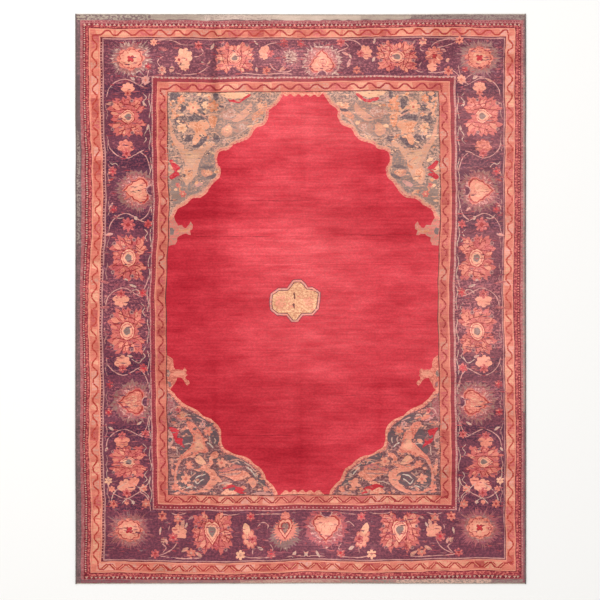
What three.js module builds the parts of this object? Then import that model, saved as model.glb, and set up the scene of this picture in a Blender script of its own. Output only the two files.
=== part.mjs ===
// A room-size hand-knotted wool rug, lying flat with its pile up.
// Millimetres. The origin is the middle of the underside. +X runs across the rug, +Y along it, and +Z is up.
// The rug is one flat knotted slab. A selvedge cord is overcast along each side, and each end is bound.

import * as THREE from "three";

// Driving dimensions
const rugWidth = 3600; // across, over both selvedges
const rugLength = 4550; // over both bound ends
const pileHeight = 8; // foundation and pile together
const selvedgeWidth = 10; // the overcast cord at each side
const selvedgeHeight = 8;
const bindingWidth = 8; // the overcast edge at each end
const bindingHeight = 6;
const yarnGap = 0.3; // clearance between pieces that are sewn together
const roundFacets = 6; // round the outside of a cord

// How far each side stands in from its straight line, at places along the rug
const sideWaver = [
  { y: -2275, left: 1.5, right: 0.5 },
  { y: -1920, left: 2.5, right: 0.5 },
  { y: -1600, left: 2.0, right: 0.5 },
  { y: -1290, left: 0.0, right: 0.0 },
  { y: -650, left: 0.0, right: 1.0 },
  { y: 0, left: 0.5, right: 2.0 },
  { y: 450, left: 1.5, right: 2.5 },
  { y: 720, left: 2.5, right: 2.0 },
  { y: 950, left: 0.5, right: 1.5 },
  { y: 1110, left: 3.5, right: 1.0 },
  { y: 1270, left: 3.0, right: 2.5 },
  { y: 1450, left: 0.0, right: 0.5 },
  { y: 2070, left: 0.0, right: 1.0 },
  { y: 2275, left: 0.0, right: 2.0 },
];

// How far each end stands in from its straight line, at places across the rug
const endWaver = [
  { x: -1800, bottom: 0.0, top: 0.0 },
  { x: -1100, bottom: 0.5, top: 1.5 },
  { x: -320, bottom: 1.5, top: 2.5 },
  { x: 0, bottom: 3.5, top: 3.0 },
  { x: 480, bottom: 2.5, top: 4.0 },
  { x: 800, bottom: 1.0, top: 3.5 },
  { x: 1270, bottom: 0.5, top: 1.0 },
  { x: 1800, bottom: 0.5, top: 0.5 },
];

// The four edges. Their lines are walked anticlockwise, which is against the table's order on two of them.
const edges = {
  bottom: { key: "y", along: "x", sign: -1, reach: rugLength / 2, waver: endWaver, againstTable: false },
  right: { key: "x", along: "y", sign: 1, reach: rugWidth / 2, waver: sideWaver, againstTable: false },
  top: { key: "y", along: "x", sign: 1, reach: rugLength / 2, waver: endWaver, againstTable: true },
  left: { key: "x", along: "y", sign: -1, reach: rugWidth / 2, waver: sideWaver, againstTable: true },
};

// A wavering value from the table, in a straight line between its rows
function readWaver(edgeName, place) {
  const { waver, along } = edges[edgeName];
  const next = waver.findIndex((row) => row[along] >= place);
  const upper = THREE.MathUtils.clamp(next, 1, waver.length - 1);
  const [from, to] = [waver[upper - 1], waver[upper]];
  const share = THREE.MathUtils.clamp((place - from[along]) / (to[along] - from[along]), 0, 1);
  return THREE.MathUtils.lerp(from[edgeName], to[edgeName], share);
}

// The point of an edge at a place along it, moved inwards by an inset
function edgePoint(edgeName, place, inset) {
  const { key, along, sign, reach } = edges[edgeName];
  return { [along]: place, [key]: sign * (reach - readWaver(edgeName, place) - inset) };
}

// The line of an edge between two places, with a point at each row of its table
function edgeLine(edgeName, from, to, inset) {
  const { along, waver, againstTable } = edges[edgeName];
  const bends = waver.map((row) => row[along]).filter((place) => place > from && place < to);
  const line = [from, ...bends, to].map((place) => edgePoint(edgeName, place, inset));
  return againstTable ? line.reverse() : line;
}

// A corner of the slab, which the side and end cords enclose
const slabInset = { side: selvedgeWidth + yarnGap, end: bindingWidth + yarnGap };
function slabCorner(sideName, endName) {
  const y = edgePoint(endName, edges[sideName].sign * edges[sideName].reach, slabInset.end).y;
  return edgePoint(sideName, y, slabInset.side);
}
const corner = {
  bottomLeft: slabCorner("left", "bottom"),
  bottomRight: slabCorner("right", "bottom"),
  topLeft: slabCorner("left", "top"),
  topRight: slabCorner("right", "top"),
};

// The knotted slab: foundation and pile in one, cut to the wavering outline
function knottedSlab() {
  const lines = [
    edgeLine("bottom", corner.bottomLeft.x, corner.bottomRight.x, slabInset.end),
    edgeLine("right", corner.bottomRight.y, corner.topRight.y, slabInset.side),
    edgeLine("top", corner.topLeft.x, corner.topRight.x, slabInset.end),
    edgeLine("left", corner.bottomLeft.y, corner.topLeft.y, slabInset.side),
  ];
  const outline = lines.flatMap((line) => line.slice(0, -1)); // each line ends where the next starts
  const shape = new THREE.Shape(outline.map(({ x, y }) => new THREE.Vector2(x, y)));
  return new THREE.ExtrudeGeometry(shape, { depth: pileHeight, bevelEnabled: false });
}

// The section of an overcast cord: flat where it meets the slab and the floor side, round outside
function cordSection(width, height) {
  const radius = height / 2;
  const round = Array.from({ length: roundFacets + 1 }, (_, i) => {
    const turn = -Math.PI / 2 + (i * Math.PI) / roundFacets;
    return { out: width - radius + radius * Math.cos(turn), up: radius + radius * Math.sin(turn) };
  });
  return [{ out: 0, up: 0 }, ...round, { out: 0, up: height }];
}

// A closed cord along an edge, from a ring of the section at each point of its inner line
function edgeCord(edgeName, from, to, width, height) {
  const { key, sign } = edges[edgeName];
  const section = cordSection(width, height);
  const stations = edgeLine(edgeName, from, to, width);
  const count = section.length;
  const points = stations.flatMap((station) =>
    section.flatMap(({ out, up }) => {
      const moved = { ...station, [key]: station[key] + sign * out };
      return [moved.x, moved.y, up];
    }),
  );
  const faces = [];
  for (let i = 1; i < count - 1; i++) {
    const last = (stations.length - 1) * count;
    faces.push(0, i, i + 1); // the end that the walk starts from
    faces.push(last, last + i + 1, last + i);
  }
  for (let station = 0; station < stations.length - 1; station++) {
    for (let i = 0; i < count; i++) {
      const here = station * count + i;
      const beside = station * count + ((i + 1) % count);
      faces.push(here, here + count, beside + count);
      faces.push(here, beside + count, beside);
    }
  }
  const geometry = new THREE.BufferGeometry();
  geometry.setAttribute("position", new THREE.Float32BufferAttribute(points, 3));
  geometry.setIndex(faces);
  geometry.computeVertexNormals();
  return geometry;
}

// A side cord runs the rug's whole length
function selvedge(edgeName) {
  const side = edges[edgeName].sign * edges[edgeName].reach;
  const from = edgePoint("bottom", side, 0).y;
  const to = edgePoint("top", side, 0).y;
  return edgeCord(edgeName, from, to, selvedgeWidth, selvedgeHeight);
}

// An end cord runs between the two side cords
function binding(edgeName) {
  const from = edgeName === "top" ? corner.topLeft.x : corner.bottomLeft.x;
  const to = edgeName === "top" ? corner.topRight.x : corner.bottomRight.x;
  return edgeCord(edgeName, from, to, bindingWidth, bindingHeight);
}

const woolPile = new THREE.MeshStandardMaterial({ color: 0xbf4450, roughness: 0.95, metalness: 0 });
const selvedgeWool = new THREE.MeshStandardMaterial({ color: 0x6f6360, roughness: 0.95, metalness: 0 });
const bindingWool = new THREE.MeshStandardMaterial({ color: 0xa89888, roughness: 0.95, metalness: 0 });

const pieces = [
  { name: "rug", geometry: knottedSlab(), material: woolPile },
  { name: "selvedge_left", geometry: selvedge("left"), material: selvedgeWool },
  { name: "selvedge_right", geometry: selvedge("right"), material: selvedgeWool },
  { name: "end_binding_bottom", geometry: binding("bottom"), material: bindingWool },
  { name: "end_binding_top", geometry: binding("top"), material: bindingWool },
];

const group = new THREE.Group();
for (const { name, geometry, material } of pieces) {
  const mesh = new THREE.Mesh(geometry, material);
  mesh.name = name;
  group.add(mesh);
}

export default group;
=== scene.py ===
import math
import random

import bpy
import numpy as np
from mathutils.geometry import delaunay_2d_cdt
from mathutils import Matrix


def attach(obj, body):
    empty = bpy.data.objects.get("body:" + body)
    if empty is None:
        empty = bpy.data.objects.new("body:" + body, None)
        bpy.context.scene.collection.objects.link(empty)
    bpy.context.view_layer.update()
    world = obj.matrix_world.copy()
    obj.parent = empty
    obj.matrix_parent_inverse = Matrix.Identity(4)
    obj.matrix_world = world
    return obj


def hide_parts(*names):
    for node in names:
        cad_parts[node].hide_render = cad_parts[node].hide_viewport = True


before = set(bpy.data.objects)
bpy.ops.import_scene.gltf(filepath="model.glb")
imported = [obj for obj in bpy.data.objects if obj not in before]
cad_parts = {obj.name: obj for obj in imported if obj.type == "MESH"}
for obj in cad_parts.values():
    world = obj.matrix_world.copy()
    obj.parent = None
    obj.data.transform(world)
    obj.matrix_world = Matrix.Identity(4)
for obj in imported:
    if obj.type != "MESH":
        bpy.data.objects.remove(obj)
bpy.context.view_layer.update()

print("rug: frame loaded")

# Sizes in metres, the same as in the part's source
rug = {
    "width": 3.6,
    "length": 4.55,
    "height": 0.008,
    "yarnGap": 0.0003,
    "selvedge": {"width": 0.010, "height": 0.008},
    "binding": {"width": 0.008, "height": 0.006},
}
# how far each side stands in from its straight line, in mm: place along the rug, left, right
sideWaver = [
    (-2275, 1.5, 0.5), (-1920, 2.5, 0.5), (-1600, 2.0, 0.5), (-1290, 0.0, 0.0), (-650, 0.0, 1.0),
    (0, 0.5, 2.0), (450, 1.5, 2.5), (720, 2.5, 2.0), (950, 0.5, 1.5), (1110, 3.5, 1.0), (1270, 3.0, 2.5),
    (1450, 0.0, 0.5), (2070, 0.0, 1.0), (2275, 0.0, 2.0),
]
# the same for the ends: place across the rug, bottom, top
endWaver = [
    (-1800, 0.0, 0.0), (-1100, 0.5, 1.5), (-320, 1.5, 2.5), (0, 3.5, 3.0), (480, 2.5, 4.0),
    (800, 1.0, 3.5), (1270, 0.5, 1.0), (1800, 0.5, 0.5),
]


def readWaver(table, column, place):
    rows = np.array(table) / 1000
    return np.interp(place, rows[:, 0], rows[:, column])


def linear(hexColour, alpha=1.0):
    channels = [int(hexColour[i:i + 2], 16) / 255 for i in (1, 3, 5)]
    return [c / 12.92 if c <= 0.04045 else ((c + 0.055) / 1.055) ** 2.4 for c in channels] + [alpha]


# settings that many nodes share
add, subtract, multiply = [{"operation": operation} for operation in ("ADD", "SUBTRACT", "MULTIPLY")]
multiplyAdd, snap = [{"operation": operation} for operation in ("MULTIPLY_ADD", "SNAP")]
smoothStep, colours = {"interpolation_type": "SMOOTHSTEP"}, {"data_type": "RGBA"}


# A node as an input stands for its first output that is in use
def setInputs(tree, node, inputs):
    for name, value in inputs.items():
        if isinstance(value, bpy.types.Node):
            value = next(output for output in value.outputs if output.enabled)
        if isinstance(value, bpy.types.NodeSocket):
            tree.links.new(value, node.inputs[name])
        else:
            node.inputs[name].default_value = value


def addNode(tree, kind, settings, inputs):
    node = tree.nodes.new("ShaderNode" + kind)
    for name, value in settings.items():
        setattr(node, name, value)
    setInputs(tree, node, inputs)
    return node


# Camera, light and floor. The photo looks straight down.
studio = {
    "cameraHeight": 12.0,
    "frameWidth": 4.789,
    "frameCentre": (-0.006, -0.009),
    "sensorWidth": 36.0,
    "sightLength": 200.0,
    "floorSize": 240.0,
    "floorDrop": 0.0005,
    "floorColour": "#F7F7F6",
    "floorRoughness": 0.9,
    "skyColour": "#FFFDFB",
    "skyStrength": 0.86,
    "softboxSize": 7.0,
    "softboxPlace": (-2.6, 3.4, 6.5),
    "softboxPower": 230.0,
}


def buildStudio():
    bpy.ops.object.select_all(action="DESELECT")
    centreX, centreY = studio["frameCentre"]
    bpy.ops.object.camera_add(location=(centreX, centreY, studio["cameraHeight"]), rotation=(0, 0, 0))
    camera = bpy.context.object
    camera.name = "cameraAbove"
    camera.data.sensor_width = studio["sensorWidth"]
    camera.data.lens = studio["sensorWidth"] * studio["cameraHeight"] / studio["frameWidth"]
    camera.data.clip_end = studio["sightLength"]
    bpy.context.scene.camera = camera

    bpy.ops.object.light_add(type="AREA", location=studio["softboxPlace"])
    softbox = bpy.context.object
    softbox.name = "softbox"
    softbox.data.shape = "SQUARE"
    softbox.data.size = studio["softboxSize"]
    softbox.data.energy = studio["softboxPower"]
    x, y, z = studio["softboxPlace"]
    softbox.rotation_euler = (math.atan2(-y, z), math.atan2(x, z), 0)  # turned towards the rug

    sky = bpy.data.worlds.new("studioSky")
    bpy.context.scene.world = sky
    sky.use_nodes = True
    setInputs(sky.node_tree, sky.node_tree.nodes["Background"], {
        "Color": linear(studio["skyColour"]),
        "Strength": studio["skyStrength"],
    })

    bpy.ops.mesh.primitive_plane_add(size=studio["floorSize"], location=(0, 0, -studio["floorDrop"]))
    floor = bpy.context.object
    floor.name = "studioFloor"
    paint = bpy.data.materials.new("matteFloorPaint")
    paint.use_nodes = True
    setInputs(paint.node_tree, paint.node_tree.nodes["Principled BSDF"], {
        "Base Color": linear(studio["floorColour"]),
        "Roughness": studio["floorRoughness"],
    })
    floor.data.materials.append(paint)
    bpy.context.scene.view_settings.view_transform = "Standard"
    print("rug: studio ready")


buildStudio()

# The rug's pattern is drawn as a cartoon, as for a weaver: outlines on squares of 8 mm, one over another
square = 0.008
halfWide, halfLong = rug["width"] / 2 / square, rug["length"] / 2 / square
fieldDyes = ("madder", "deepMadder", "darkMadder")
groundInsets = (29.2, 23.4)  # where the dye lots of the border's ground begin, from the left and the right
draw = random.Random(11)
patches = []  # outline, dye, second dye, share of the second dye

dyes = {
    "ash": "#755C5E", "mauve": "#8E676A", "dove": "#A08C84", "bone": "#CCA596", "chalk": "#D4BDAE",
    "flax": "#BBA999", "ashRose": "#AC7874", "rosewood": "#AE6064", "wine": "#782E36",
    "crimson": "#A33E48", "brick": "#A2383A", "rust": "#B4443A", "scarlet": "#CC3A44", "rose": "#C25A5C",
    "crimsonDust": "#8A4450", "scarletDust": "#BE4C50", "coralDust": "#A0625E", "coral": "#D27066",
    "salmon": "#E48874", "clay": "#D07264", "peach": "#EC9C84", "cream": "#F2B292", "shell": "#D4968E",
    "fawn": "#C88C7C", "stripeCoral": "#E08470", "stripeRose": "#C8665A", "stripeSand": "#ECA88A",
    "plum": "#6C3A4A", "nightPlum": "#543044", "garnet": "#82404E", "lilac": "#804C5E", "dusk": "#9C545E",
    "ink": "#4A2A38", "umber": "#6C403C", "madder": "#DA3E4B", "deepMadder": "#BE303D",
    "darkMadder": "#98232F", "slate": "#8A746F", "darkSlate": "#6E595D", "mist": "#AA887A",
    "sage": "#926E68", "fog": "#CA9884", "clove": "#93625F", "darkClove": "#7A4F53", "sand": "#E8A688",
    "straw": "#F2B894", "apricot": "#DE8E6C", "honey": "#D89272", "butter": "#E3AE84",
}

# each stripe: name, how far in from the left, right, top and bottom edge, dye, second dye, its share
stripes = [
    ("edge", 0.0, 0.0, 0.0, 0.0, "ash", "mauve", 0.30),
    ("mutedRed", 5.2, 3.0, 6.4, 4.4, "rosewood", "ashRose", 0.30),
    ("darkLine", 8.0, 5.2, 9.8, 5.0, "wine", "crimson", 0.40),
    ("crimson", 11.2, 8.2, 12.0, 7.8, "crimson", "coral", 0.42),
    ("crimsonDark", 13.4, 10.6, 13.8, 10.8, "wine", "crimson", 0.30),
    ("outerPale", 14.2, 11.5, 14.7, 11.6, "peach", "stripeCoral", 0.40),
    ("outerCoral", 15.3, 12.3, 15.6, 12.6, "stripeCoral", "stripeRose", 0.36),
    ("outerPaleInner", 24.2, 20.0, 22.2, 21.6, "peach", "stripeCoral", 0.40),
    ("outerDark", 25.2, 20.9, 23.2, 22.5, "wine", "plum", 0.40),
    ("borderLine", 27.2, 21.8, 24.2, 23.5, "shell", "ashRose", 0.45),
    ("ground", 28.4, 22.6, 25.2, 24.5, "plum", "garnet", 0.35),
    ("innerPale", 75.2, 69.4, 62.0, 72.8, "shell", "rosewood", 0.45),
    ("innerCrimson", 76.4, 71.4, 63.2, 74.0, "crimson", "wine", 0.35),
    ("innerPaleInner", 80.4, 75.2, 67.1, 78.2, "peach", "stripeCoral", 0.40),
    ("innerCoral", 81.3, 76.0, 67.9, 79.0, "stripeCoral", "stripeRose", 0.42),
    ("innerDark", 91.0, 86.0, 76.6, 87.7, "umber", "wine", 0.30),
    ("field", 92.0, 86.9, 77.5, 88.6, "madder", "deepMadder", 0.5),
]
# the two ends and the right side are of paler wool: left, right, bottom, top, dyes and share
edgeShades = [
    (-225, -150, 278.4, 285, "flax", "ash", 0.5), (-150, -96, 278.4, 285, "flax", "dove", 0.45),
    (-96, -30, 278.4, 285, "chalk", "dove", 0.35), (-30, 60, 278.4, 285, "chalk", "flax", 0.55),
    (60, 110, 278.4, 285, "flax", "dove", 0.4), (110, 225, 278.4, 285, "dove", "ash", 0.45),
    (-219, -170, -285, -279.9, "mauve", "crimsonDust", 0.5),
    (-170, -60, -285, -279.9, "ashRose", "mauve", 0.5), (-60, 40, -285, -279.9, "bone", "ashRose", 0.5),
    (40, 96, -285, -279.9, "dove", "ashRose", 0.5), (96, 190, -285, -279.9, "dove", "bone", 0.6),
    (190, 225, -285, -279.9, "dove", "mauve", 0.5),
    (221.5, 225, -285, -113, "mauve", "crimsonDust", 0.45),
    (221.5, 225, -113, 222, "dove", "ashRose", 0.5), (221.5, 225, 222, 278.4, "mauve", "ashRose", 0.3),
    (-225, -220.6, 55, 167, "ash", "dove", 0.5), (-225, -220.6, 167, 224, "ash", "darkSlate", 0.6),
]
# bands of other dye lots in the border's ground: from, to, dyes and share
groundShades = [
    (221, 258.4, "plum", "dusk", 0.30), (215, 221, "plum", "dusk", 0.3),
    (205, 215, "nightPlum", "garnet", 0.35), (130, 150, "nightPlum", "garnet", 0.35),
    (122, 130, "plum", "nightPlum", 0.4), (92, 122, "plum", "dusk", 0.25),
    (70, 86, "nightPlum", "garnet", 0.35), (16, 22, "plum", "dusk", 0.4), (8, 16, "plum", "dusk", 0.5),
    (-50, 8, "plum", "rosewood", 0.36), (-58, -50, "plum", "garnet", 0.4),
    (-76, -58, "nightPlum", "garnet", 0.4), (-84, -76, "plum", "garnet", 0.4),
    (-118, -84, "plum", "dusk", 0.4), (-126, -118, "plum", "garnet", 0.4),
    (-142, -126, "nightPlum", "garnet", 0.4), (-212, -190, "nightPlum", "garnet", 0.5),
    (-259.0, -212, "plum", "garnet", 0.42),
]
# rows of small beads and teeth: side, inset, from, to, period, length, height, kind, dye
beadRows = [
    ("left", 9.6, -272, 276, 2.15, 1.4, 1.9, "bead", "bone"),
    ("left", 26.2, -258, 256, 2.9, 1.4, 1.7, "bead", "shell"),
    ("left", 79.2, -208, 214, 3.0, 1.3, 1.0, "bead", "rose"),
    ("left", 13.4, -270, 272, 2.6, 1.2, 0.8, "bead", "rose"),
    ("left", 76.0, 60, 210, 2.2, 1.1, 1.2, "bead", "bone"),
    ("right", 6.9, -272, 276, 2.6, 1.3, 1.6, "bead", "salmon"),
    ("right", 4.0, -272, 276, 3.1, 1.3, 1.1, "bead", "fawn"),
    ("right", 70.4, -205, 218, 2.5, 1.3, 1.3, "bead", "bone"),
    ("top", 8.0, -214, 218, 2.6, 1.3, 1.3, "bead", "wine"),
    ("top", 10.7, -214, 218, 4.15, 2.9, 2.2, "tooth", "bone"),
    ("top", 62.8, -148, 154, 4.1, 2.9, 2.0, "tooth", "bone"),
    ("bottom", 6.3, -214, 218, 4.35, 3.1, 2.3, "tooth", "bone"),
    ("bottom", 75.6, -148, 154, 4.0, 2.0, 1.5, "bead", "shell"),
]
blotchDyes = [
    ("stripeCoral", "stripeRose", 0.6), ("stripeSand", "stripeCoral", 0.5), ("salmon", "rose", 0.55),
    ("peach", "shell", 0.4), ("stripeRose", "crimson", 0.3), ("stripeSand", "coral", 0.35),
    ("stripeCoral", "fawn", 0.5),
]
# the zigzags of the two coral stripes: their middle line's insets, half height, period, dye and blotches
zigzags = [
    ((19.7, 16.2, 18.9, 17.1), 2.3, 17.4, "rust", blotchDyes),
    ((86.1, 81.0, 72.2, 83.4), 2.3, 17.2, "brick", blotchDyes[::2]),
]
# their second dye, its share and their width at the bottom (the most worn), right, top and left
zigzagFinishes = [
    ("brick", 0.5, 3.1), ("stripeRose", 0.3, 1.6), ("crimson", 0.3, 1.7), ("stripeRose", 0.25, 1.6),
]
zigzagBends = ((0.10, 1), (0.32, 1), (0.60, -1), (0.82, -1))  # share of a period, and side of the middle line
flatWidth = 1.6  # the widest that a zigzag is between its slopes


# Knots follow an outline only roughly, so its edges are broken up and shaken
def roughen(outline, step=3.4, shake=0.28):
    points = splitEdges(np.asarray(outline, float), step)
    return points + [(draw.uniform(-shake, shake), draw.uniform(-shake, shake)) for point in points]


def lay(outline, dye, secondDye=None, share=0.0, step=3.4, shake=0.28):
    patches.append((roughen(outline, step, shake), dye, secondDye or dye, share))


# Which points lie inside an outline. The points come in the order of their second coordinate.
def insideOutline(points, outline):
    turns = np.zeros(len(points), int)
    px, py = points[:, 0], points[:, 1]
    ends = np.roll(outline, -1, 0)
    first = np.searchsorted(py, np.minimum(outline[:, 1], ends[:, 1]))
    last = np.searchsorted(py, np.maximum(outline[:, 1], ends[:, 1]))
    for (ax, ay), (bx, by), i, j in zip(outline.tolist(), ends.tolist(), first.tolist(), last.tolist()):
        if i < j:
            side = (bx - ax) * (py[i:j] - ay) - (px[i:j] - ax) * (by - ay)
            turns[i:j] += side > 0 if by > ay else -(side < 0).astype(int)
    return turns != 0


def splitEdges(outline, longest):
    rows = []
    for a, b in zip(outline, np.roll(outline, -1, 0)):
        count = max(1, math.ceil(np.linalg.norm(b - a) / longest))
        rows += [a + (b - a) * k / count for k in range(count)]
    return np.array(rows)


def frameOutline(left, right, top, bottom):
    x0, x1, y0, y1 = left - halfWide, halfWide - right, bottom - halfLong, halfLong - top
    return [(x0, y0), (x1, y0), (x1, y1), (x0, y1)]


# Gives a function that turns, sizes and moves an outline. Facing is clockwise from the top end.
def placed(x, y, facing=0, size=1.0, squash=1.0):
    c, s = math.cos(math.radians(facing)), math.sin(math.radians(facing))

    def put(points):
        u, v = np.asarray(points, float).T * size
        v = v * squash
        return np.column_stack((x + u * c + v * s, y - u * s + v * c))

    return put


def mirroredHalf(half):
    return list(half) + [(-u, v) for u, v in reversed(half) if u > 0]


def smoothLine(points, steps=4, closed=False):
    p = np.asarray(points, float)
    count = len(p)
    rows = []
    for i in range(count if closed else count - 1):
        if closed:
            a, b, c, d = p[i - 1], p[i], p[(i + 1) % count], p[(i + 2) % count]
        else:
            a, b, c, d = p[max(i - 1, 0)], p[i], p[i + 1], p[min(i + 2, count - 1)]
        for k in range(steps):
            t = k / steps
            cubic = (2 * a - 5 * b + 4 * c - d) * t * t + (3 * b - a - 3 * c + d) * t ** 3
            rows.append(0.5 * (2 * b + (c - a) * t + cubic))
    if not closed:
        rows.append(p[-1])
    return np.array(rows)


def lobedRing(radius, lobes, depth, turn=0.0, squash=1.0, each=4):
    t = np.linspace(0, 2 * np.pi, lobes * each, endpoint=False)
    r = radius * (1 - depth + depth * np.abs(np.cos(lobes * t / 2)) ** 0.7)
    t = t + math.radians(turn)
    return np.column_stack((r * np.sin(t), r * np.cos(t) * squash))


def spikyRing(inner, outer, spikes, seed, squash=1.0):
    scatter = random.Random(seed)
    rows = []
    for i in range(spikes):
        radii = (inner * scatter.uniform(0.92, 1.06), outer * scatter.uniform(0.82, 1.08))
        for half, reach in zip((0, 0.5), radii):
            t = 2 * math.pi * (i + half + scatter.uniform(-0.12, 0.12)) / spikes
            rows.append((reach * math.sin(t), reach * math.cos(t) * squash))
    return rows


def ribbon(points, width, ends=0.35):
    p = np.asarray(points, float)
    way = np.gradient(p, axis=0)
    way /= np.maximum(np.linalg.norm(way, axis=1, keepdims=True), 1e-9)
    half = np.full(len(p), width / 2)
    half[[0, -1]] *= ends
    across = np.column_stack((-way[:, 1], way[:, 0])) * half[:, None]
    return np.vstack((p + across, (p - across)[::-1]))


# Moves a line to its left
def shiftLine(outline, distance, closed=False):
    p = np.asarray(outline, float)
    way = np.roll(p, -1, 0) - np.roll(p, 1, 0) if closed else np.gradient(p, axis=0)
    way /= np.maximum(np.linalg.norm(way, axis=1, keepdims=True), 1e-9)
    return p + distance * np.column_stack((-way[:, 1], way[:, 0]))


def layBox(x0, x1, y0, y1, dye, secondDye, share):
    lay([(x0, y0), (x1, y0), (x1, y1), (x0, y1)], dye, secondDye, share, 6.0, 0.8)


def layStripes():
    for name, left, right, top, bottom, dye, secondDye, share in stripes:
        lay(frameOutline(left, right, top, bottom), dye, secondDye, share, 4.6, 0.24)
        if name == "edge":
            for shade in edgeShades:
                layBox(*shade)
        if name == "ground":
            for y0, y1, *shade in groundShades:
                layBox(groundInsets[0] - halfWide, halfWide - groundInsets[1], y0, y1, *shade)


def besideEdge(side, inset, place, outwards):
    reach = (halfWide if side in ("left", "right") else halfLong) - inset + outwards
    if side in ("left", "right"):
        return (-reach if side == "left" else reach, place)
    return (place, -reach if side == "bottom" else reach)


def layBeads():
    for side, inset, start, end, period, length, height, kind, dye in beadRows:
        for place in np.arange(start, end, period):
            long, high = length / 2 * draw.uniform(0.8, 1.1), height / 2 * draw.uniform(0.8, 1.1)
            at = place + draw.uniform(-0.15, 0.15) * period
            shape = [(at - long, -high), (at + long, -high), (at, high)]
            if kind == "bead":
                shape = [(at - long, 0), (at, -high), (at + long, 0), (at, high)]
            lay([besideEdge(side, inset, along, out) for along, out in shape], dye, "salmon", 0.25, 9, 0.1)


def layZigzags():
    for insets, high, period, dye, pairs in zigzags:
        corners = [np.array(corner) for corner in frameOutline(*insets)]
        bends, finishes, diagonals = [], [], []
        for a, b, finish in zip(corners, corners[1:] + corners[:1], zigzagFinishes):
            length = np.linalg.norm(b - a)
            way = (b - a) / length
            out = np.array((way[1], -way[0]))
            layBlotches(a, way, out, length, pairs if abs(way[1]) > 0.5 else blotchDyes)
            step = length / round(length / period)
            for k in range(round(length / period)):
                start = a + way * (k + draw.uniform(0.0, 0.12)) * step
                bend = [
                    start + way * f * step + out * high * g * draw.uniform(0.88, 1.05)
                    for f, g in zigzagBends
                ]
                bends += bend
                finishes += [finish] * 4
                if finish is zigzagFinishes[0]:
                    diagonals += [(bend[1], bend[2]), (bend[3], start + way * 1.10 * step + out * high)]
        # at the bottom each slope is two thin lines of red with lighter wool between them
        for i, (a, b, (secondDye, share, wide)) in enumerate(zip(bends, bends[1:] + bends[:1], finishes)):
            width = min(wide, flatWidth) if i % 2 == 0 else wide
            lay(ribbon([a, b], width, 1.0), dye, secondDye, share, 3.4, 0.2)
        for a, b in diagonals:
            cut = (b - a) * 0.04
            lay(ribbon([a + cut, b - cut], 0.8, 1.0), "stripeSand", "stripeCoral", 0.6, 4, 0.12)


# Lengths of a coral stripe that took the dye more or less deeply, from one end of a side to the other
def layBlotches(start, way, out, length, pairs):
    place, tint = 2.0, None
    while place < length - 6:
        reach = min(draw.uniform(5, 19), length - 2 - place)
        tint = draw.choice([pair for pair in pairs if pair is not tint])
        low, high = draw.uniform(3.4, 4.1), draw.uniform(3.2, 3.9)
        last = place + reach
        slants = draw.uniform(-2, 2), draw.uniform(-2, 2)
        box = [(place, -low), (last, -low), (last + slants[0], high), (place + slants[1], high)]
        lay([start + way * along + out * across for along, across in box], *tint, 4.5, 0.3)
        place += reach + draw.uniform(0, 9)


# Small flowers, leaves and stems of the border
def layStar(x, y, radius, dye="rose", centre="brick", petals=6, turn=0.0):
    put = placed(x, y, turn)
    lay(put(lobedRing(radius, petals, 0.42, each=4)), dye, "salmon", 0.2)
    lay(put(lobedRing(radius * 0.36, 4, 0.3, each=2)), centre)


def layFan(x, y, facing, radius, dye="peach", vein="clay", lobes=5):
    put = placed(x, y, facing)
    t = np.radians(np.linspace(-112, 112, lobes * 4 + 1))
    r = radius * (0.80 + 0.2 * np.abs(np.sin(np.linspace(0, lobes * np.pi, len(t)))))
    foot = [(0.25 * radius, -0.55 * radius), (0, -0.7 * radius), (-0.25 * radius, -0.55 * radius)]
    lay(put(list(np.column_stack((r * np.sin(t), r * np.cos(t)))) + foot), dye, "salmon", 0.3)
    for k in range(1, lobes):
        a = math.radians(-112 + 224 * k / lobes)
        reach = [(f * radius * math.sin(a), f * radius * math.cos(a)) for f in (0.3, 0.82)]
        lay(put(ribbon(reach, 0.6)), vein)


def layFanFlower(x, y, facing, radius, dye="peach", heart="rose"):
    layFan(x, y, facing, radius, dye)
    (cx, cy), = placed(x, y, facing)([(0, -0.62 * radius)])
    layStar(cx, cy, radius * 0.56, heart, "brick", 6, facing)


def layLeaf(x, y, facing, length, width, dye):
    half = [(0.30, 0.12), (0.50, 0.38), (0.42, 0.66), (0.20, 0.88)]
    right = [(w * width, v * length) for w, v in half]
    outline = [(0, 0)] + right + [(0, length)] + [(-u, v) for u, v in reversed(right)]
    lay(placed(x, y, facing)(outline), dye, "salmon", 0.25)


def layVine(points, dye="shell", width=0.85):
    lay(ribbon(smoothLine(points, 3), width), dye, "fawn", 0.3)


# Leaves and stars from tables, where at moves them and side turns them for one side of the rug
def layLeaves(leaves, at, side):
    for x, y, facing, length, width, dye in leaves:
        layLeaf(*at(x, y), facing * side, length, width, dye)


def layStars(stars, at):
    for x, y, radius, dye, centre in stars:
        layStar(*at(x, y), radius, dye, centre)


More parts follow.
